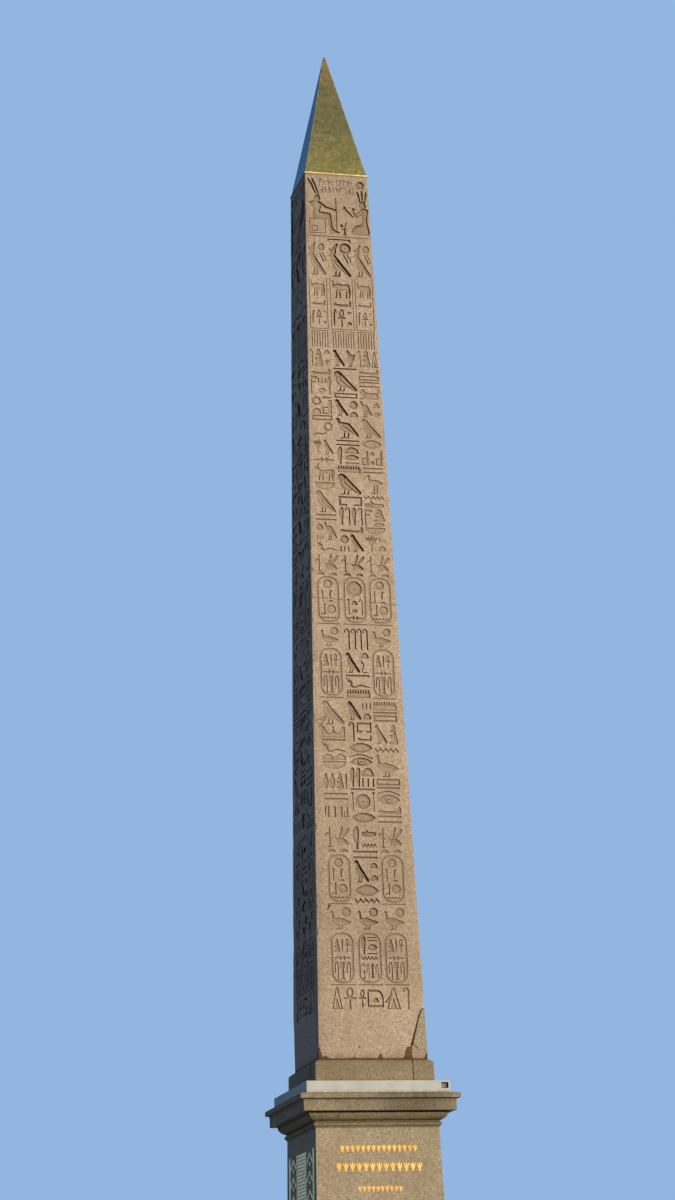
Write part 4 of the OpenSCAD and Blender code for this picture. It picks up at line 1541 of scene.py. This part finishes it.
def lamp_lenses():
    """A ribbed glass in the bezel of each lamp."""
    mesh = Mesh()
    low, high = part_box("lamp_front")
    x0, x1 = low.x + LENS_IN, high.x - LENS_IN
    z0, z1 = high.z - LAMP_BODY_H + LENS_IN, high.z - LENS_IN
    for q in (0, 2):
        place = upright_place(q, -low.y - BEZEL_DEPTH)
        raised(mesh, rounded(x0, x1, z0, z1, 0.008), place, 0.006, 0.004)
        for i in range(RIBS):
            x = x0 + (i + 0.5) * (x1 - x0) / RIBS
            raised(mesh, block(x - RIB_HALF, z0 + 0.007, x + RIB_HALF, z1 - 0.007), place, 0.009, 0.003)
    add_piece("lamp_lenses", mesh, LAMP_GLASS)


mortar_smears()
course_joints()
die_gilding()
casing_parts()
lamp_lenses()


# Floor, world, lights and camera

FLOOR_R = 1400.0
AMBIENT = 0.135


def pale_floor():
    made = to_object("floor", [(x, y, 0.0) for x, y in disc(0, 0, FLOOR_R, 96)], [list(range(96))])
    f = Finish("floor_paint", roughness=0.9, specular=0.1)
    f.colour(f.mix(f.seen(), paint(70, 82, 106), paint(244, 246, 248)))
    made.data.materials.append(f.material)


def pale_world():
    """A weak blue light, behind a plain blue sky for the camera and for what mirrors show."""
    world = bpy.data.worlds.new("sky")
    bpy.context.scene.world = world
    world.use_nodes = True
    world.node_tree.nodes.clear()
    sky = Nodes(world.node_tree)
    mix = sky.node("ShaderNodeMixShader", {"Fac": sky.seen()})
    for socket, colour, strength in ((1, paint(148, 190, 255), AMBIENT), (2, paint(146, 182, 224), 1.0)):
        light = sky.node("ShaderNodeBackground", {"Color": colour, "Strength": strength})
        sky.put(mix.inputs[socket], light.outputs[0])
    sky.node("ShaderNodeOutputWorld", {"Surface": mix.outputs[0]})


def sun_lamp(name, azimuth, elevation, strength, softness, tone):
    """A distant lamp. Azimuth 0 shines on the front, and grows towards the right side."""
    light = bpy.data.lights.new(name, "SUN")
    light.energy = strength
    light.angle = math.radians(softness)
    light.color = paint(*tone)[:3]
    made = bpy.data.objects.new(name, light)
    bpy.context.scene.collection.objects.link(made)
    a, e = math.radians(azimuth), math.radians(elevation)
    towards = Vector((math.sin(a) * math.cos(e), -math.cos(a) * math.cos(e), math.sin(e)))
    made.rotation_euler = towards.to_track_quat("Z", "Y").to_euler()


pale_floor()
pale_world()
sun_lamp("key", 26, 12.5, 3.42, 2.0, (255, 248, 236))
sun_lamp("back_fill", 142, 30, 2.6, 36.0, (240, 245, 255))
sun_lamp("side_fill", 248, 26, 0.3, 16.0, (140, 182, 255))

CAMERA_PLACE = (-16.2356, -63.3709, 0.625)
CAMERA_YAW, CAMERA_PITCH, CAMERA_ROLL = -0.2488, 0.2814, -0.0350
CAMERA_LENS = 89.085
LONG_SIDE = 36.0


def make_camera():
    data = bpy.data.cameras.new("camera")
    data.sensor_width = LONG_SIDE
    data.lens = CAMERA_LENS
    data.clip_end = 2000.0
    camera = bpy.data.objects.new("camera", data)
    bpy.context.scene.collection.objects.link(camera)
    yaw, pitch, roll = CAMERA_YAW, CAMERA_PITCH, CAMERA_ROLL
    ahead = Vector((-math.sin(yaw) * math.cos(pitch), math.cos(yaw) * math.cos(pitch), math.sin(pitch)))
    across = Vector((math.cos(yaw), math.sin(yaw), 0.0))
    up = across.cross(ahead)
    right = across * math.cos(roll) + up * math.sin(roll)
    above = -across * math.sin(roll) + up * math.cos(roll)
    axes = Matrix((right, above, -ahead)).transposed().to_4x4()
    camera.matrix_world = Matrix.Translation(CAMERA_PLACE) @ axes
    bpy.context.scene.camera = camera


make_camera()
bpy.context.scene.view_settings.view_transform = "Standard"
